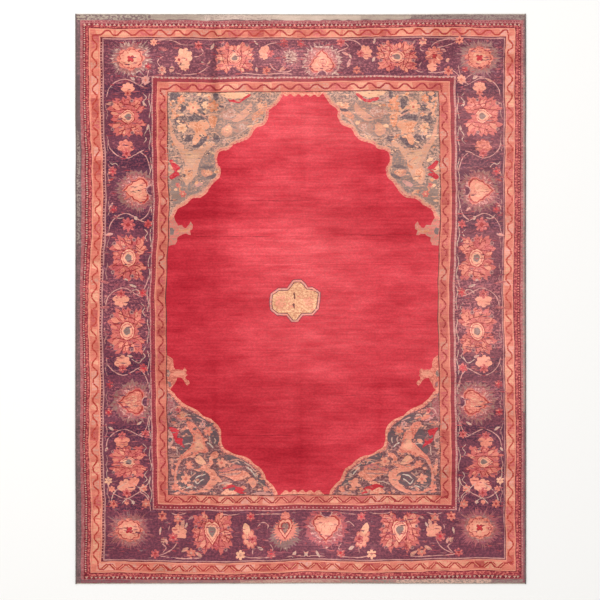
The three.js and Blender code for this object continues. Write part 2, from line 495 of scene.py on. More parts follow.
# Right halves of the large motifs, from the bottom of the middle to the top of it
palmetteHalf = [
    (0, -13), (1.6, -11.2), (3.6, -12.6), (5, -11.2), (6.2, -14.5), (8, -20.5), (9.6, -15.5), (11, -12.2),
    (14, -13.2), (17, -16.5), (20.6, -15.2), (18, -12), (20, -9), (17.2, -7.2), (18.6, -4), (21.2, -1),
    (18.2, 1.4), (20.8, 5), (17, 6), (18.8, 9.5), (20, 13.5), (16, 12.4), (17, 16), (13, 14.4),
    (11, 15.6), (10.2, 19), (8, 22), (6.4, 18), (5.4, 14.4), (3, 13), (1.6, 15.2), (0, 16.6),
]
palmetteVeins = [
    [(5.4, -12.6), (6.9, -6), (7.8, 1), (6.6, 9), (7.6, 19)],
    [(8.6, -11), (11.4, -5), (13, 3), (16.4, 11)], [(7.8, 3), (10.6, 8), (13, 13)],
    [(9.4, -9), (13.4, -9), (17.6, -12.6)], [(11.8, -3), (15, -2.4), (18.8, -0.8)],
    [(12.6, 4), (15.4, 5.2), (18, 7.6)],
]
shieldHalf = [(0, -8.2), (2.6, -9.8), (6, -7.6), (7.6, -3), (6.4, 2.4), (3.2, 7.4), (0, 11.8)]
eyeHalf = [(0, -6), (3, -6.5), (6.4, -3), (6.8, 1), (4.4, 5), (0, 10)]
heartHalf = [
    (0, -9), (3.4, -10.6), (8, -10), (11.8, -6.4), (12, -2.4), (9.8, 0.2), (9.2, 3.4), (6.2, 5.4), (5.2, 8.6),
    (2.4, 10.6), (0, 13.6),
]


def layPetal(put, foot, facing, length, width, dye, outline="brick"):
    turn = math.radians(facing + draw.uniform(-9, 9))
    length, width = length * draw.uniform(0.8, 1.08), width * draw.uniform(0.8, 1.15)
    way, across = np.array((math.sin(turn), math.cos(turn))), np.array((math.cos(turn), -math.sin(turn)))
    second = draw.choice(("salmon", "coral", "rose"))
    for grow, tint, share in ((0.7, outline, 0.35), (0, dye, 0.4)):
        rows = (
            (-grow, 0), (length * 0.3, width * 0.42 + grow), (length * 0.68, width * 0.5 + grow),
            (length * 0.92 + grow, width * 0.3), (length + grow, 0),
        )
        right = [np.array(foot) + way * v + across * u for v, u in rows]
        left = [np.array(foot) + way * v - across * u for v, u in rows[-2:0:-1]]
        lay(put(right + left), tint, second, share)


def layPalmette(x, y, facing, size, squash, heart, body="coral", inner="salmon"):
    put = placed(x, y, facing, size, squash)
    halves = [
        [(u + draw.uniform(-0.5, 0.5) * (u > 0), v + draw.uniform(-0.6, 0.6)) for u, v in palmetteHalf]
        for side in range(2)
    ]
    silhouette = put(halves[0] + [(-u, v) for u, v in reversed(halves[1])])
    lay(shiftLine(silhouette, 0.4, True), "wine", "rose", 0.5)
    lay(silhouette, body, "rose", 0.40)
    for side in (1, -1):
        for foot, petalFacing, length, width in (
            ((4.4, -9), 160, 9, 4.6), ((7, -8), 128, 11, 5.6), ((9, -4.6), 104, 9, 4.0),
            ((9, 0), 84, 9.4, 5.4), ((8.2, 4.4), 60, 10.4, 4.6), ((6, 7.6), 34, 11.4, 5.4),
            ((2.6, 9.6), 10, 8, 4.0), ((12, -8.8), 112, 6, 3.0), ((13.6, 3.4), 72, 5, 2.6),
            ((7.6, -12.6), 160, 6.4, 2.8),
        ):
            petalDye = draw.choice((inner, "salmon", body, "peach", "rose", inner, "coral", "salmon"))
            layPetal(put, (foot[0] * side, foot[1]), petalFacing * side, length, width, petalDye)
        for crease in palmetteVeins[:2] + palmetteVeins[4:]:
            lay(put(ribbon(smoothLine([(u * side, v) for u, v in crease], 2), 0.8)), "wine", "brick", 0.5)
    if heart == "ring":
        shape, middle = lobedRing(7.8, 8, 0.08, each=3), lobedRing(3.8, 5, 0.25, each=3)
    else:
        shape = mirroredHalf(shieldHalf if heart == "shield" else eyeHalf)
        middle = [(u * 0.5, v * 0.46 - 0.6) for u, v in shape]
    for scale, dye, secondDye, share in (
        (1.16, "brick", "clay", 0.3), (1.0, "peach", "cream", 0.4), (0.86, "rose", "coral", 0.5),
        (0.74, "cream", "peach", 0.5),
    ):
        lay(put([(u * scale, v * scale) for u, v in shape]), dye, secondDye, share)
    lay(put(middle), "sage", "slate", 0.5)
    for u, v in ((16.5, -4.6), (-16.5, -4.6), (13, 16.6), (-13, 16.6)):
        (cx, cy), = put([(u, v)])
        lay(placed(cx, cy)(lobedRing(1.9 * size, 6, 0.1, each=2)), "ashRose")
        lay(placed(cx, cy)(lobedRing(0.9 * size, 6, 0.1, each=2)), "plum")


def keepWithin(points, box):
    return np.clip(points, (box[0], box[2]), (box[1], box[3]))


# A ring of worn wool round a flower, made of single rays that run out into the ground
def layHalo(x, y, facing, near, far, squash, count, dyesOfRays, inside, seed):
    scatter = random.Random(seed)
    put = placed(x, y, facing, 1.0, squash)
    for i in range(count):
        turn = math.radians(360 * (i + scatter.uniform(-0.4, 0.4)) / count)
        start, end = near * scatter.uniform(0.7, 1.0), far * scatter.uniform(0.66, 1.06)
        middle = start + (end - start) * 0.45
        wide = scatter.uniform(1.1, 2.3)
        ray = [(start, -wide * 0.6), (end, -wide * 0.1), (middle, wide * 0.5), (start, wide * 0.6)]
        c, s = math.cos(turn), math.sin(turn)
        points = put([(r * s + a * c, r * c - a * s) for r, a in ray])
        lay(keepWithin(points, inside), scatter.choice(dyesOfRays), scatter.choice(dyesOfRays), 0.5, 5, 0.2)


# A heart-shaped flower in its halo
def layHeart(x, y, facing, size, squash, fill, rays, inside, seed):
    put = placed(x, y, facing, size, squash)
    layHalo(x, y, facing, 13 * size, 24 * size, squash, 60, rays, inside, seed)
    for near, far, dye, secondDye, share in (
        (18.4, 22.4, rays[0], rays[1], 0.5), (16.4, 19.4, "dusk", rays[0], 0.5),
        (14.4, 17.0, "rosewood", "shell", 0.4),
    ):
        core = put(spikyRing(near, far, 26, seed + int(far)))
        lay(keepWithin(core, inside), dye, secondDye, share)
    worn = ("coralDust", "rosewood", "fawn", "ashRose", "coral")
    layHalo(x, y, facing, 9 * size, 18 * size, squash, 40, worn, inside, seed + 1)
    shape = mirroredHalf(heartHalf)
    for wide, high, lift, dye, secondDye, share in (
        (1.16, 1.14, 0, "salmon", "rose", 0.45), (1.05, 1.05, 0, "brick", "rust", 0.4),
        (0.93, 0.92, 0, fill, "salmon", 0.4), (0.6, 0.5, 0.5, "cream", fill, 0.5),
    ):
        lay(put([(u * wide, v * high + lift) for u, v in shape]), dye, secondDye, share)
    for k in range(-3, 4):
        lay(put(ribbon([(0.6 * k, -6), (1.5 * k, 0), (1.1 * k, 5.4)], 0.5)), "rose", fill, 0.4)
    for radius, dye, secondDye in ((6.0, "shell", "fawn"), (4.8, "plum", "lilac")):
        turns = np.radians(np.linspace(-90, 90, 7))
        cap = np.column_stack((radius * np.sin(turns), -14.5 + radius * 0.94 * np.cos(turns)))
        lay(put(cap), dye, secondDye, 0.3)


def layCornerFlower(x, y, petal, rays, inside, seed):
    put = placed(x, y)
    layHalo(x, y, 0, 14, 27, 0.84, 70, rays, inside, seed)
    core = put(spikyRing(16.6, 21.4, 30, seed + 9, 0.84))
    lay(keepWithin(core, inside), rays[1], rays[0], 0.5)
    lay(put(spikyRing(15, 17.6, 34, seed, 0.86)), "coralDust", "ashRose", 0.5)
    worn = ("coralDust", "ashRose", "coral", "sage", "rosewood")
    layHalo(x, y, 0, 10, 20, 0.84, 44, worn, inside, seed + 1)
    lay(put(lobedRing(14, 8, 0.16, squash=0.84)), "coral", "salmon", 0.5)
    lay(put(lobedRing(12, 9, 0.14, 12, 0.84)), "brick", "clay", 0.4)
    lay(put(lobedRing(11, 9, 0.14, 12, 0.84)), petal, "salmon", 0.4)
    for k in range(9):
        lay(placed(x, y, 40 * k + 14, 1.0, 0.86)(ribbon([(0, 5), (0, 10.4)], 0.7)), "brick", "coral", 0.4)
    lay(put(lobedRing(7, 6, 0.2, 4, 0.86)), "cream", petal, 0.5)
    lay(put(lobedRing(4, 4, 0.45, 45)), "brick", "scarlet", 0.4)
    lay(put(lobedRing(2.2, 3, 0.4)), "scarlet")


# One long side of the border, by distance out from its middle line and along the rug; side is -1 for the left
def layLongSide(side, middle, shifts):
    def at(out, along):
        return middle + side * out, along

    def path(points):
        return [at(*point) for point in points]

    curls = (
        ("shell", 0.85, [(20.5, 9), (18.6, 1), (12, -6), (3, -9), (-5, -6), (-11, -2.5), (-15.5, -1)]),
        ("shell", 0.85, [(-11, -2.5), (-17, -7), (-20, -14), (-21.4, -22)]),
        ("bone", 0.7, [(-15, 6), (-18.5, 10), (-16, 14), (-19, 19)]),
    )
    for start, way in ((211, -1), (149, 1), (76, -1), (2, -1), (-67, 1), (-139, -1), (-191, 1)):
        for dye, width, curl in curls:
            layVine(path([(out, start + along * way) for out, along in curl]), dye, width)
    for k in range(13):
        start = 205 - 32 * k
        inner = [(-21.8 + 0.9 * math.sin(1.3 * i + k), start - 4.2 * i) for i in range(7)]
        outer = [(20.6 + 0.9 * math.sin(1.5 * i + 2 * k), start - 9 - 3.4 * i) for i in range(6)]
        layVine(path(inner), "bone", 0.7)
        layVine(path(outer), "ashRose", 0.7)
    layLeaves((
        (12, 196, 100, 9, 3.4, "fawn"), (-7, 219, 60, 6, 3, "bone"), (14, 168, -80, 7, 3, "mauve"),
        (-8, 79, 40, 5, 3.4, "bone"), (16, 65, 100, 9, 3.2, "shell"), (22, 28, 20, 6, 2.6, "lilac"),
        (-4, 19, 80, 8, 2.4, "bone"), (17, 16, 80, 11, 3, "rosewood"), (-10, 12, 70, 8, 2.6, "bone"),
        (16, -8, 95, 11, 3, "rosewood"), (-6, -58, 70, 6, 2.6, "bone"), (13, -131, 60, 7, 2.4, "bone"),
        (-9, -126, -60, 7, 2.4, "bone"), (19, -148, 150, 5, 2.4, "bone"), (-17, 192, 20, 6, 2.2, "bone"),
        (-19, 168, -10, 6, 2.2, "bone"), (18.5, 128, 20, 7, 2.6, "lilac"), (15, 120, 110, 8, 2, "brick"),
        (17, 96, 150, 8, 2.2, "shell"), (-15, 88, 60, 8, 2.6, "shell"),
    ), at, side)
    for shift, (out, along, wide, high, heart) in zip(shifts, (
        (0, 182, 0.98, 0.92, "eye"), (-1, 41, 1.10, 0.93, "ring"), (-1, -32, 1.14, 0.92, "ring"),
        (-0.5, -163, 0.80, 0.90, "eye"),
    )):
        layPalmette(*at(out + shift, along), 90 * side, wide, high / wide, heart)
    inside = sorted((at(-23.2, 0)[0], at(22.4, 0)[0])) + [-400, 400]
    rays = ("coralDust", "sage", "ashRose", "dusk", "rosewood", "ashRose", "lilac")
    layHeart(*at(-7.5 + shifts[4], 108), 90 * side, 0.98, 1.02, "peach", rays, inside, 21 + side)
    layHeart(*at(-5, -103), 90 * side, 1.0, 1.0, "clay", rays, inside, 31 + side)
    for out, along, facing, radius, dye, heart in (
        (0, 210, 0, 6.8, "peach", "clay"), (2.5, 150.5, 0, 8.8, "clay", "rose"),
        (5, 0, 180, 8.4, "peach", "rose"), (4, -64, 0, 8.4, "peach", "rose"),
        (5, -141, 180, 7.6, "salmon", "rose"), (2, -189, 0, 9, "peach", "rose"),
    ):
        layFanFlower(*at(out, along), facing, radius, dye, heart)
    layStar(*at(1, 74), 7.4, "rose", "brick", 8)
    layFan(*at(-6, -184), 35 * side, 6, "salmon")
    layStars((
        (-19, 75, 4.4, "scarletDust", "brick"), (-16.5, 6.5, 4.4, "scarletDust", "scarlet"),
        (-17, -69, 4.8, "scarletDust", "scarlet"), (-17.6, -135, 4.3, "rose", "brick"),
        (-14.5, -190, 4.2, "salmon", "clay"), (-17, 217.5, 4.0, "shell", "clay"),
        (16.5, 127, 4.8, "rose", "scarlet"), (16, 89.5, 4.2, "crimson", "scarlet"),
        (18, -85, 4.2, "crimson", "scarlet"), (18.5, -113, 4.2, "crimson", "scarlet"),
        (19.4, -182, 4.0, "cream", "fawn"), (16.5, -190.5, 3.4, "salmon", "clay"),
        (15.5, -205.5, 4.4, "clay", "brick"), (-16.5, -205.5, 4.6, "clay", "fawn"),
        (2.6, -204, 2.6, "salmon", "clay"), (-4, -204, 2, "bone", "bone"),
    ), at)
    for points in (
        [(20, 137), (17, 134), (13.5, 135), (10, 131)], [(15, 84), (11, 80), (5, 81)],
        [(-5, -60), (-9, -63), (-13, -63.5), (-16.5, -58)],
        [(2, -184), (9, -189), (15, -195), (18, -203)],
        [(-4, -184), (-11, -190), (-18, -196), (-20, -200)], [(8, -206), (2, -200), (-4, -203)],
        [(19, -182), (21, -176), (20, -168)], [(-12, -190), (-19, -186), (-21.5, -178)],
        [(-4, 5), (-7, 9), (-12, 9), (-14, 5)],
    ):
        layVine(path(points), "bone", 0.8)


def layTopEnd():
    def stay(x, y):
        return x, y

    for points in (
        [(-147, 257), (-139, 258.6), (-128, 257.6), (-118, 253.6), (-106, 254)],
        [(-139, 230), (-143.6, 236), (-142, 240), (-138, 242.4)],
        [(-101, 252), (-97.6, 247), (-101, 243.4), (-107, 242)],
        [(-126, 226), (-112, 224.6), (-100, 227), (-92, 233)], [(-24, 256), (-34, 253.6), (-42, 248)],
        [(-31, 236), (-26.6, 230), (-19, 227), (-12, 227), (-7, 231)],
        [(42, 257.8), (50, 258.6), (57, 256), (63, 250)], [(34, 246), (42, 248.6), (48, 252), (44, 256)],
        [(131, 251), (137, 256), (148, 258.4), (157, 257.6)], [(137, 250), (147, 252), (156, 256)],
        [(113, 229), (119, 226), (127, 225.6), (140, 225.8), (147, 228)],
        [(-60, 226), (-40, 224.6), (-20, 225.4), (-6, 224.6)], [(122, 255), (120, 248), (124, 246)],
        [(152, 228), (157, 224), (161, 219)], [(118, 231), (121, 236)],
        [(166, 220), (171, 223), (178, 221), (184, 221.6)], [(-150, 222), (-158, 221), (-168, 223)],
    ):
        layVine(points)
    layLeaves((
        (-142, 250, 100, 9, 3.6, "rosewood"), (-90, 250, 30, 7, 2.8, "bone"), (-99, 238, 140, 5, 2, "bone"),
        (-93, 235, 40, 5, 2, "fawn"), (-79, 253, 20, 6, 2.4, "ashRose"), (-43, 254, -40, 6, 2.4, "bone"),
        (-21, 228, 60, 12, 3.6, "fawn"), (46, 231, 20, 9, 3.4, "shell"), (41, 246, 110, 9, 2.4, "shell"),
        (50, 240, -20, 5, 2.2, "bone"), (71, 236, 30, 6, 2.4, "bone"), (73, 254, 20, 6, 2.4, "bone"),
        (112, 253, 40, 5, 2.2, "ashRose"), (141, 249, 120, 6, 3, "shell"), (146, 236, 40, 5, 4, "fawn"),
        (-128, 233, 200, 7, 5, "fawn"), (185, 219, 110, 8, 2.6, "fawn"), (-44, 232, 170, 5, 2.4, "bone"),
    ), stay, 1)
    layPalmette(-66, 241, 0, 0.94, 0.81, "eye", "salmon", "cream")
    layPalmette(96, 241, 0, 1.0, 0.78, "ring", "salmon", "peach")
    # a flower worn down to its halo
    lay(placed(-11, 241.5)(spikyRing(10, 14.5, 22, 51)), "lilac", "rosewood", 0.5)
    lay(placed(-10, 241.5)(spikyRing(5, 9.5, 18, 52)), "ashRose", "bone", 0.5)
    rays = ("ashRose", "bone", "sage", "crimsonDust")
    layHeart(21, 236.4, 0, 0.94, 0.94, "peach", rays, (-400, 400, 223, 258.8), 41)
    layFanFlower(-117, 242, 60, 9, "cream", "peach")
    layFan(-116, 233.6, 170, 5.4, "cream")
    layFanFlower(-35, 246, -80, 7.4)
    layFanFlower(64, 245.4, 80, 7.4)
    lay(placed(134, 242)(lobedRing(9.4, 10, 0.26)), "clay", "salmon", 0.3)
    for k in range(10):
        lay(placed(134, 242, 36 * k + 18)(ribbon([(0, 3), (0, 8.2)], 0.8)), "cream")
    layStar(134, 242, 3.4, "brick", "scarlet", 5)
    layFan(131.6, 231.6, 180, 5.6)
    layStars((
        (-147.5, 256, 3.8, "peach", "clay"), (-139, 228.6, 4.8, "fawn", "clay"),
        (-102.5, 253.4, 4.4, "rose", "brick"), (-16.5, 255.6, 4.6, "scarletDust", "brick"),
        (0.4, 255.6, 4.2, "crimson", "scarlet"), (40.5, 256, 4.6, "rose", "brick"),
        (-33.5, 228.2, 4.6, "clay", "brick"), (55.5, 228.2, 4.2, "clay", "brick"),
        (122.4, 255.4, 4.2, "peach", "fawn"), (158.8, 257, 4.2, "salmon", "brick"),
        (148, 227.4, 4.8, "clay", "brick"), (-156, 218.4, 4.6, "shell", "clay"),
        (161, 218.8, 4.6, "peach", "clay"), (164.6, 228.6, 3.2, "scarletDust", "scarlet"),
        (-153, 232, 3.6, "crimson", "scarlet"),
    ), stay)


def layBottomEnd():
    for side in (-1, 1):
        def at(x, y):
            return 5 + side * x, y

        for points in (
            [(150, -256), (141, -253), (133, -247), (129, -240)], [(146, -244), (141, -248), (146, -254)],
            [(104, -257), (118, -257.6), (132, -257.4), (150, -256)],
            [(48, -227), (43, -222.6), (37.6, -225), (38, -229)],
            [(66, -214.6), (76, -215.4), (86, -213.8)], [(22, -214.6), (35, -214.2), (50, -215)],
            [(30, -256), (42, -257.6), (56, -257.4), (66, -255)], [(53, -247), (54, -254)],
            [(137, -226), (138, -231)], [(120, -214), (129, -216), (136, -214)],
            [(36, -244), (33, -249), (37, -252.6)], [(20, -257.6), (8, -257), (2, -258)],
        ):
            layVine([at(*point) for point in points])
        layLeaves((
            (104, -256, 60, 9, 3.4, "fawn"), (118, -247, 120, 9, 3.4, "fawn"),
            (121, -229, -20, 6, 2.6, "bone"), (43, -250, 60, 7, 3, "bone"), (10, -252, 150, 8, 3, "bone"),
            (-2, -258, 40, 7, 2.4, "bone"), (112, -217, 120, 7, 2.4, "ashRose"),
            (20, -250, 30, 6, 2.2, "bone"), (140, -245, 10, 6, 2.6, "shell"),
            (146, -228, 170, 8, 2.2, "bone"),
        ), at, side)
        layPalmette(*at(93.4, -232), 180, 1.0, 1.0, "shield", "coral", "peach")
        # a feathered oval flower with a pointed tip
        for radius, dye, secondDye in ((7.6, "clay", "rose"), (6.4, "peach", "salmon")):
            put = placed(*at(56.4, -238.6), 14 * side, 1.0, 1.45)
            lay(put(lobedRing(radius, 9, 0.26, 12)), dye, secondDye, 0.4)
        layLeaf(*at(57.6, -235), 14 * side, 12, 7.4, "cream")
        for turn in (-24, -8, 8, 24):
            put = placed(*at(55.6, -246), (14 + turn) * side)
            lay(put(ribbon([(0, 2), (0, 13)], 0.7)), "rose", "clay", 0.4)
        layStar(*at(53.4, -239.5), 4.6, "rose", "brick")
        layFan(*at(127.4, -233), -30 * side, 8.4)
        layStar(*at(133.6, -238), 5.4, "rose", "scarlet")
        layLeaf(*at(124, -228), -10 * side, 8, 4, "fawn")
        layStars((
            (55, -217.4, 4.6, "rose", "scarlet"), (66, -254.4, 5, "cream", "fawn"),
            (35, -253.6, 4.8, "rose", "scarlet"), (128.6, -219.6, 5, "clay", "fawn"),
            (145, -217.4, 5, "clay", "brick"), (143.8, -241, 3, "fawn", "fawn"),
            (152, -254, 4.6, "rose", "brick"), (115.6, -252.6, 5, "clay", "fawn"),
        ), at)
    lay(placed(-15.5, -235, 180)(spikyRing(13, 17.5, 30, 61)), "sage", "mauve", 0.4)
    lay(placed(-15.5, -231, 180)(spikyRing(9.5, 14, 26, 62)), "salmon", "coral", 0.4)
    layFan(-15.5, -217.5, 0, 5, "clay")
    for scale, dye in ((1.0, "brick"), (0.84, "peach"), (0.62, "brick"), (0.48, "sage")):
        lay(placed(-15.5, -228.6, 180, scale)(mirroredHalf(shieldHalf)), dye, "salmon", 0.2)
    rays = ("rose", "dusk", "rosewood", "crimsonDust")
    layHeart(25, -228, 180, 1.06, 0.96, "peach", rays, (-400, 400, -259.4, -212.4), 71)


# Short weft-wise flecks where the pile has worn to another tint
def layFlecks(count, x0, x1, y0, y1, dyesOfFlecks, seed, inside=None, size=1.0):
    scatter = random.Random(seed)
    for i in range(count):
        x, y = scatter.uniform(x0, x1), scatter.uniform(y0, y1)
        if inside is not None and not insideOutline(np.array([(x, y)]), inside)[0]:
            continue
        long, high = size * scatter.uniform(1.2, 4.6), scatter.uniform(0.35, 0.75)
        outline = [(x - long, y), (x - long * 0.2, y + high), (x + long, y + 0.2), (x + long * 0.3, y - high)]
        lay(outline, scatter.choice(dyesOfFlecks), scatter.choice(dyesOfFlecks), 0.4, 9, 0.2)


# Small blots where the scrolls have worn to patches of pale and dark wool
def layBlots(count, x0, x1, y0, y1, dyesOfBlots, seed, inside):
    scatter = random.Random(seed)
    for i in range(count):
        x, y = scatter.uniform(x0, x1), scatter.uniform(y0, y1)
        if not insideOutline(np.array([(x, y)]), inside)[0]:
            continue
        turn, long, high = scatter.uniform(-40, 40), scatter.uniform(2.0, 5.2), scatter.uniform(1.1, 2.4)
        ring = [
            (long * math.sin(a) * scatter.uniform(0.7, 1.1), high * math.cos(a) * scatter.uniform(0.7, 1.1))
            for a in range(6)
        ]
        outline = np.clip(placed(x, y, turn)(ring), (x0 + 0.3, y0 + 0.3), (x1 - 0.3, y1 - 0.3))
        lay(outline, scatter.choice(dyesOfBlots), scatter.choice(dyesOfBlots), 0.4, 9, 0.2)


